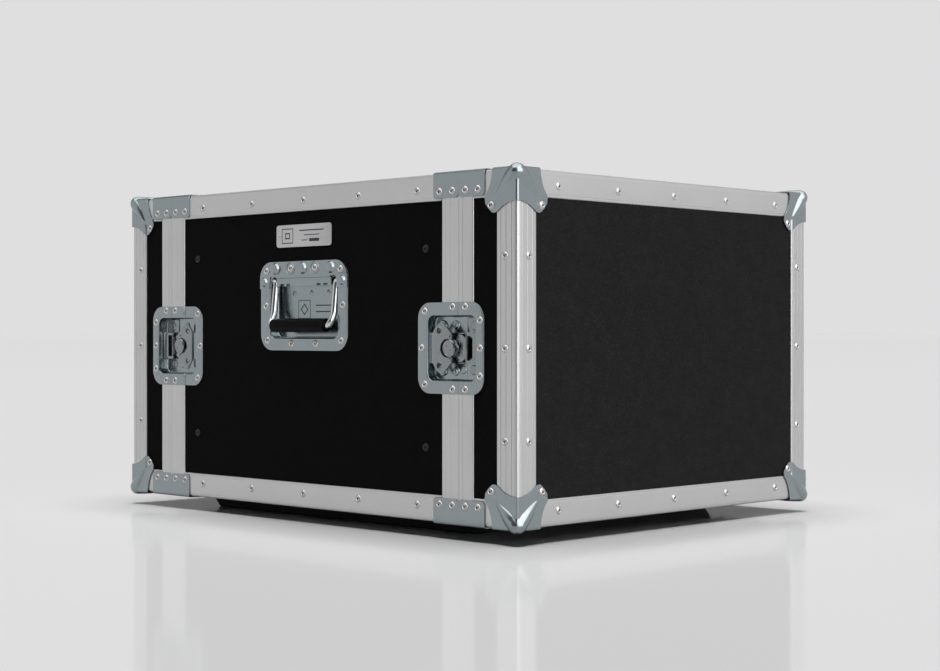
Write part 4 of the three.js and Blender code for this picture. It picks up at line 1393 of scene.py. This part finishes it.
def dress_frame():
    for level, _ in LEVELS:
        dress(f"body_{level}_panel", LAMINATE)
    for side, _ in SIDES:
        dress(f"body_{side}_panel", LAMINATE)
    for end, _ in ENDS:
        dress(f"{end}_lid_face", LAMINATE)
        dress(f"{end}_lid_walls", LAMINATE)
        for side, _ in SIDES:
            dress(f"rack_strip_{end}_{side}", STRIP)
    dress("base_board", BOARD)


# ---- floor, light and camera ----

PALE = 0.738
KEY = {"towards": (-0.1, 1.0, -0.25), "strength": 7.2, "spread": 20.0}
OVERHEAD = {"towards": (0.0, 0.0, -1.0), "strength": 2.90, "spread": 40.0}
CAMERA_PLACE = (-1.63667, -1.62405, 0.22495)
CAMERA_YAW, CAMERA_PITCH = math.radians(45.5034), math.radians(-0.108)
CAMERA_LENS = 68.68


def studio_floor():
    """A pale polished floor that runs to the horizon, with a weak mirror image of what stands on it."""
    bpy.ops.mesh.primitive_plane_add(size=400)
    floor = bpy.context.object
    floor.name = "studio_floor"
    material = bpy.data.materials.new("polished_floor")
    material.use_nodes = True
    graph = Graph(material.node_tree)
    nodes = material.node_tree.nodes
    nodes.remove(nodes["Principled BSDF"])
    matt = graph.add("ShaderNodeBsdfDiffuse", {}, {"Color": rgb(0.8)})
    gloss = graph.add("ShaderNodeBsdfAnisotropic", {}, {"Color": rgb(1.0), "Roughness": 0.09})
    both = graph.add("ShaderNodeMixShader", {}, [0.17, matt, gloss])
    material.node_tree.links.new(both.socket, nodes["Material Output"].inputs["Surface"])
    floor.data.materials.append(material)


def studio_world():
    """An even pale backdrop. What shines also sees two dark flags."""
    world = bpy.data.worlds.new("studio")
    bpy.context.scene.world = world
    world.use_nodes = True
    world.cycles_visibility.diffuse = False
    graph = Graph(world.node_tree)
    tree = world.node_tree
    background = tree.nodes["Background"]
    direction = graph.add("ShaderNodeTexCoord", {}, output="Generated")
    height = graph.add("ShaderNodeSeparateXYZ", {}, [direction], output="Z")

    def ramp(value, start, stop):
        return graph.add("ShaderNodeMapRange", {"interpolation_type": "SMOOTHSTEP"},
                         {"Value": value, "From Min": start, "From Max": stop})

    def lobe(azimuth, elevation, outer, inner):
        """One inside the inner angle round a direction, and nothing outside the outer angle."""
        turn, lift = math.radians(azimuth), math.radians(elevation)
        unit = (math.cos(turn) * math.cos(lift), math.sin(turn) * math.cos(lift), math.sin(lift))
        facing = graph.add("ShaderNodeVectorMath", {"operation": "DOT_PRODUCT"}, [direction, unit],
                           output="Value")
        return ramp(facing, math.cos(math.radians(outer)), math.cos(math.radians(inner)))

    flag_left = lobe(195.0, 5.0, 44.0, 34.0)
    flag_back = lobe(60.0, 38.0, 58.0, 46.0) * ramp(height, 0.18, 0.36)
    seen = graph.add("ShaderNodeLightPath", {}, output="Is Camera Ray")
    shine = PALE * (1.0 - flag_left * 0.87) * (1.0 - flag_back * 0.5)
    strength = seen * PALE + (1.0 - seen) * shine
    tree.links.new(strength.socket, background.inputs["Strength"])
    background.inputs["Color"].default_value = rgb(1.0)


def sun(name, towards, strength, spread, glossy=False):
    light = bpy.data.lights.new(name, "SUN")
    light.energy = strength
    light.angle = math.radians(spread)
    thing = bpy.data.objects.new(name, light)
    bpy.context.scene.collection.objects.link(thing)
    thing.rotation_euler = Vector(towards).to_track_quat("-Z", "Y").to_euler()
    thing.visible_glossy = glossy
    return thing


def disc(name, azimuth, elevation, half_angle, gain):
    """A far disc-shaped soft box, gain times as bright as the backdrop. It also shows in what shines."""
    turn, lift = math.radians(azimuth), math.radians(elevation)
    towards = (-math.cos(turn) * math.cos(lift), -math.sin(turn) * math.cos(lift), -math.sin(lift))
    strength = PALE * gain * math.pi * math.sin(math.radians(half_angle)) ** 2
    return sun(name, towards, strength, 2 * half_angle, True)


def case_lights():
    """Lights that reach the case alone, as flags in front of the lamps would keep them off the floor."""
    case = bpy.data.collections.new("case_only")
    for thing in bpy.context.scene.objects:
        if thing.type == "MESH" and thing.name != "studio_floor":
            case.objects.link(thing)
    lamps = [sun("key_light", **KEY), disc("soft_box", 265.0, 18.0, 36.0, 2.9),
             disc("ceiling_light", 0.0, 90.0, 43.0, 1.9)]
    for lamp in lamps:
        lamp.light_linking.receiver_collection = case


def camera():
    data = bpy.data.cameras.new("camera")
    data.lens = CAMERA_LENS
    data.sensor_width = 36.0
    data.clip_end = 1000.0
    thing = bpy.data.objects.new("camera", data)
    thing.location = CAMERA_PLACE
    thing.rotation_euler = (math.pi / 2 + CAMERA_PITCH, 0.0, -CAMERA_YAW)
    bpy.context.scene.collection.objects.link(thing)
    bpy.context.scene.camera = thing


def studio():
    camera()
    studio_floor()
    studio_world()
    sun("overhead_light", **OVERHEAD)
    view = bpy.context.scene.view_settings
    view.view_transform = "Standard"
    view.look = "None"


# ---- everything ----

studio()
dress_frame()
for end_name, end in ENDS:
    lid_edging(end_name, end)
    hybrid_frame(f"{end_name}_body_frame", body_profile(), end, "case_body", f"{end_name}_body_frame")
    hybrid_frame(f"{end_name}_lid_frame", lid_profile(), end, f"{end_name}_lid", f"{end_name}_lid_frame")
body_edging()
braces()
ball_corners()
latches()
handles()
nameplate()
fasteners()
case_lights()
